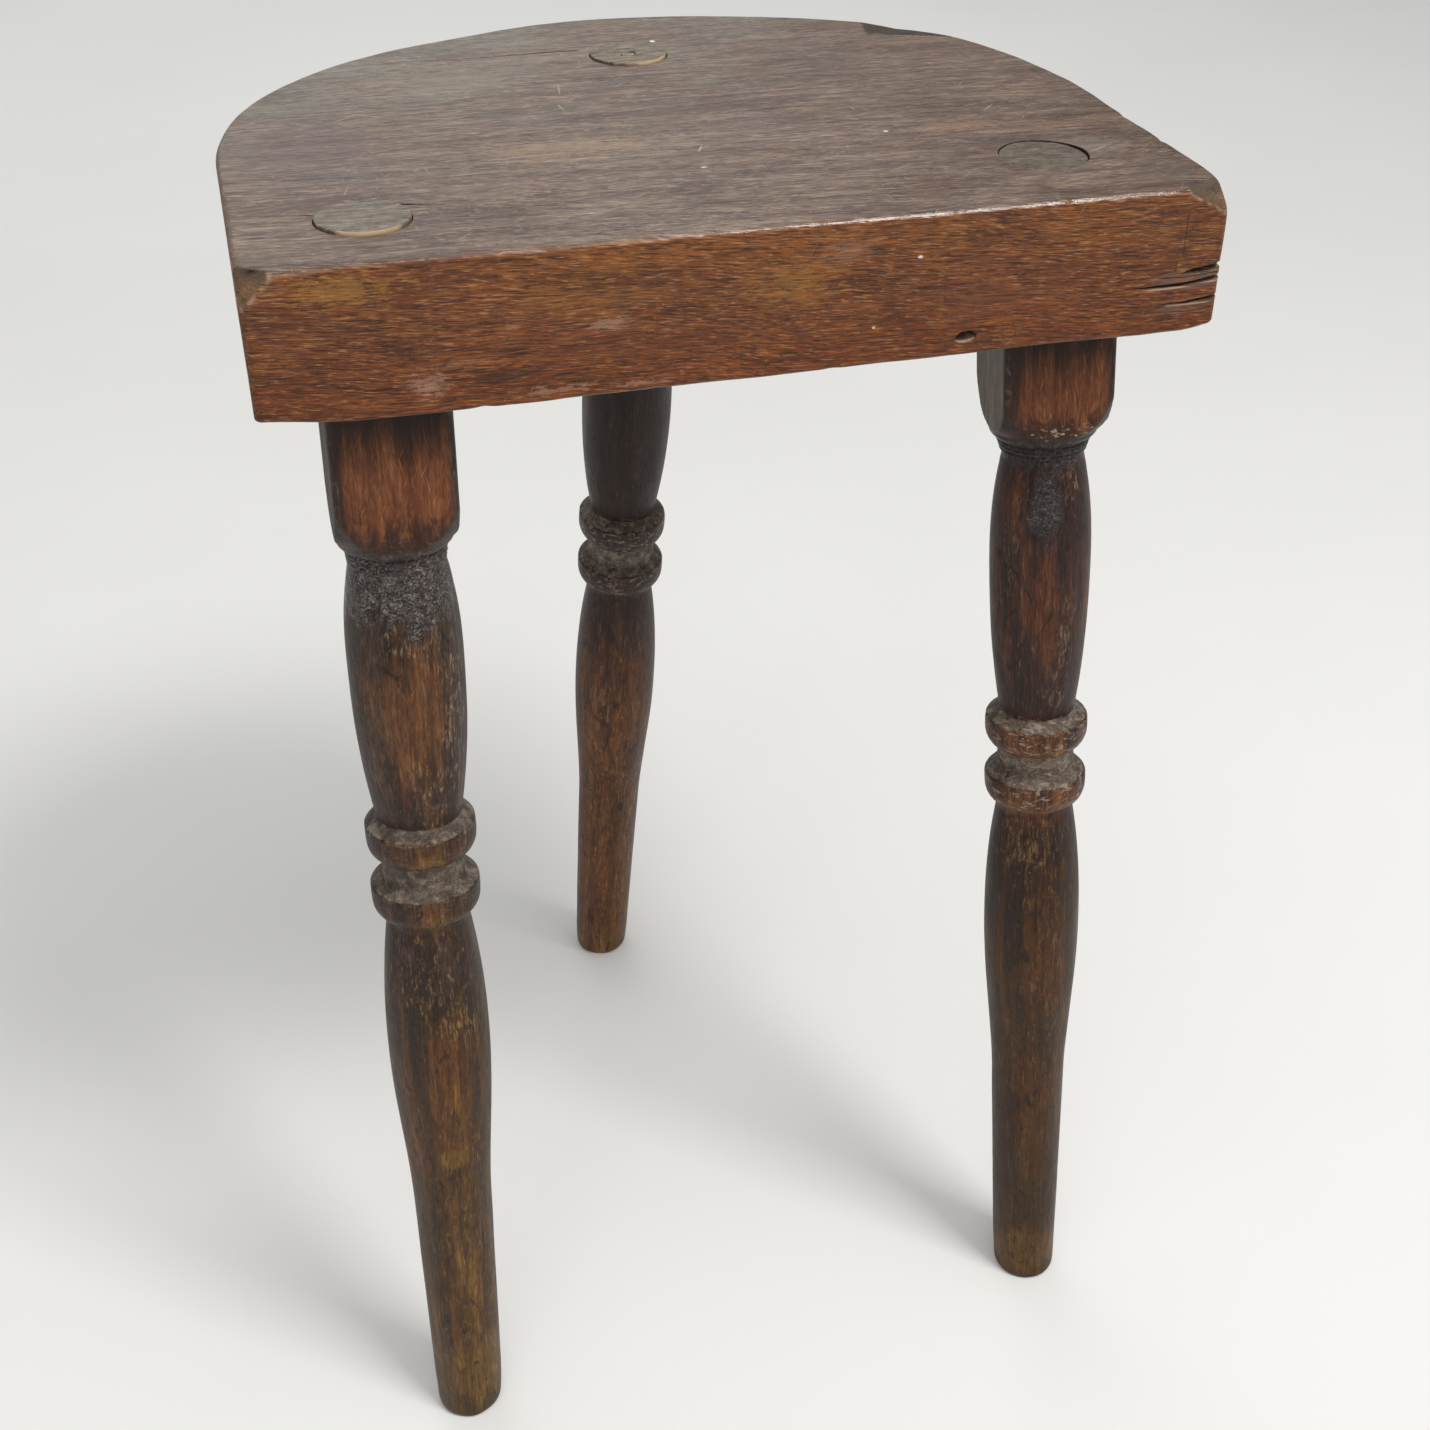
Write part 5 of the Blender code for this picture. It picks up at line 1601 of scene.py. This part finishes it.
# Each light is its name, place, target, two sizes, watts and colour
LIGHTS = (
    ("overhead", (0.2, -0.6, 2.2), STOOL_MIDDLE, (1.8, 1.4), 12.0, (1.0, 0.98, 0.95)),
    ("key", (0.68, -0.90, 1.95), (0.05, -0.1, 0.43), (0.60, 0.46), 21.0, (1.0, 0.98, 0.95)),
    ("behind", (-0.2, 2.4, 1.7), STOOL_MIDDLE, (2.6, 1.3), 16.0, (1.0, 0.99, 0.965)),
    ("front", (-1.2, -2.4, 1.3), STOOL_MIDDLE, (1.4, 1.2), 9.0, (1.0, 0.97, 0.93)),
)


def area_light(name, place, target, size, power, colour):
    data = bpy.data.lights.new(name, "AREA")
    data.shape = "RECTANGLE"
    data.size, data.size_y = size
    data.energy = power
    data.color = colour
    light = bpy.data.objects.new(name, data)
    bpy.context.scene.collection.objects.link(light)
    light.location = place
    light.rotation_mode = "QUATERNION"
    light.rotation_quaternion = (Vector(target) - Vector(place)).to_track_quat("-Z", "Y")


def make_stage():
    """The pale floor, the even light of the studio and its four area lights."""
    mesh = bpy.data.meshes.new("floor")
    z = CAD_BOX[0].z
    corners = [(x * FLOOR_HALF, y * FLOOR_HALF, z) for x, y in ((-1, -1), (1, -1), (1, 1), (-1, 1))]
    mesh.from_pydata(corners, [], [(0, 1, 2, 3)])
    floor = bpy.data.objects.new("floor", mesh)
    bpy.context.scene.collection.objects.link(floor)
    g = Graph("pale floor")
    g.feed(g.shader, "Base Color", g.ramp(g.noise((300.0, 300.0, 300.0), 3.0), (
        (0.3, (0.83, 0.83, 0.82)), (0.7, (0.86, 0.86, 0.85)))))
    g.shader.inputs["Roughness"].default_value = 0.9
    mesh.materials.append(g.material)

    world = bpy.data.worlds.new("studio")
    bpy.context.scene.world = world
    world.use_nodes = True
    background = world.node_tree.nodes["Background"]
    background.inputs["Color"].default_value = WORLD_COLOUR
    background.inputs["Strength"].default_value = WORLD_STRENGTH
    for light in LIGHTS:
        area_light(*light)


# The camera that the photo's perspective was solved for, angles in radians
LENS = 47.69
SENSOR = 36.0
CLIP = (0.01, 50.0)
VIEW_FROM = Vector((-137.8, -572.1, 600.5)) * MM
VIEW_YAW = 0.282
VIEW_PITCH = 0.589
VIEW_ROLL = 0.009
VIEW_SHIFT = (-0.0231, -0.0034)


def make_camera():
    data = bpy.data.cameras.new("camera")
    data.lens = LENS
    data.sensor_width = SENSOR
    data.shift_x, data.shift_y = VIEW_SHIFT
    data.clip_start, data.clip_end = CLIP
    camera = bpy.data.objects.new("camera", data)
    bpy.context.scene.collection.objects.link(camera)
    forward = Vector((
        math.sin(VIEW_YAW) * math.cos(VIEW_PITCH), math.cos(VIEW_YAW) * math.cos(VIEW_PITCH),
        -math.sin(VIEW_PITCH),
    ))
    level = Vector((math.cos(VIEW_YAW), -math.sin(VIEW_YAW), 0.0))
    above = level.cross(forward)
    right = level * math.cos(VIEW_ROLL) + above * math.sin(VIEW_ROLL)
    upward = above * math.cos(VIEW_ROLL) - level * math.sin(VIEW_ROLL)
    turn = Matrix((right, upward, -forward)).transposed()
    camera.matrix_world = Matrix.Translation(VIEW_FROM) @ turn.to_4x4()
    bpy.context.scene.camera = camera


make_seat()
for each_leg in LEGS:
    make_leg(each_leg)
make_nail()
make_stage()
make_camera()
bpy.context.scene.view_settings.view_transform = "Standard"

bpy.context.view_layer.update()
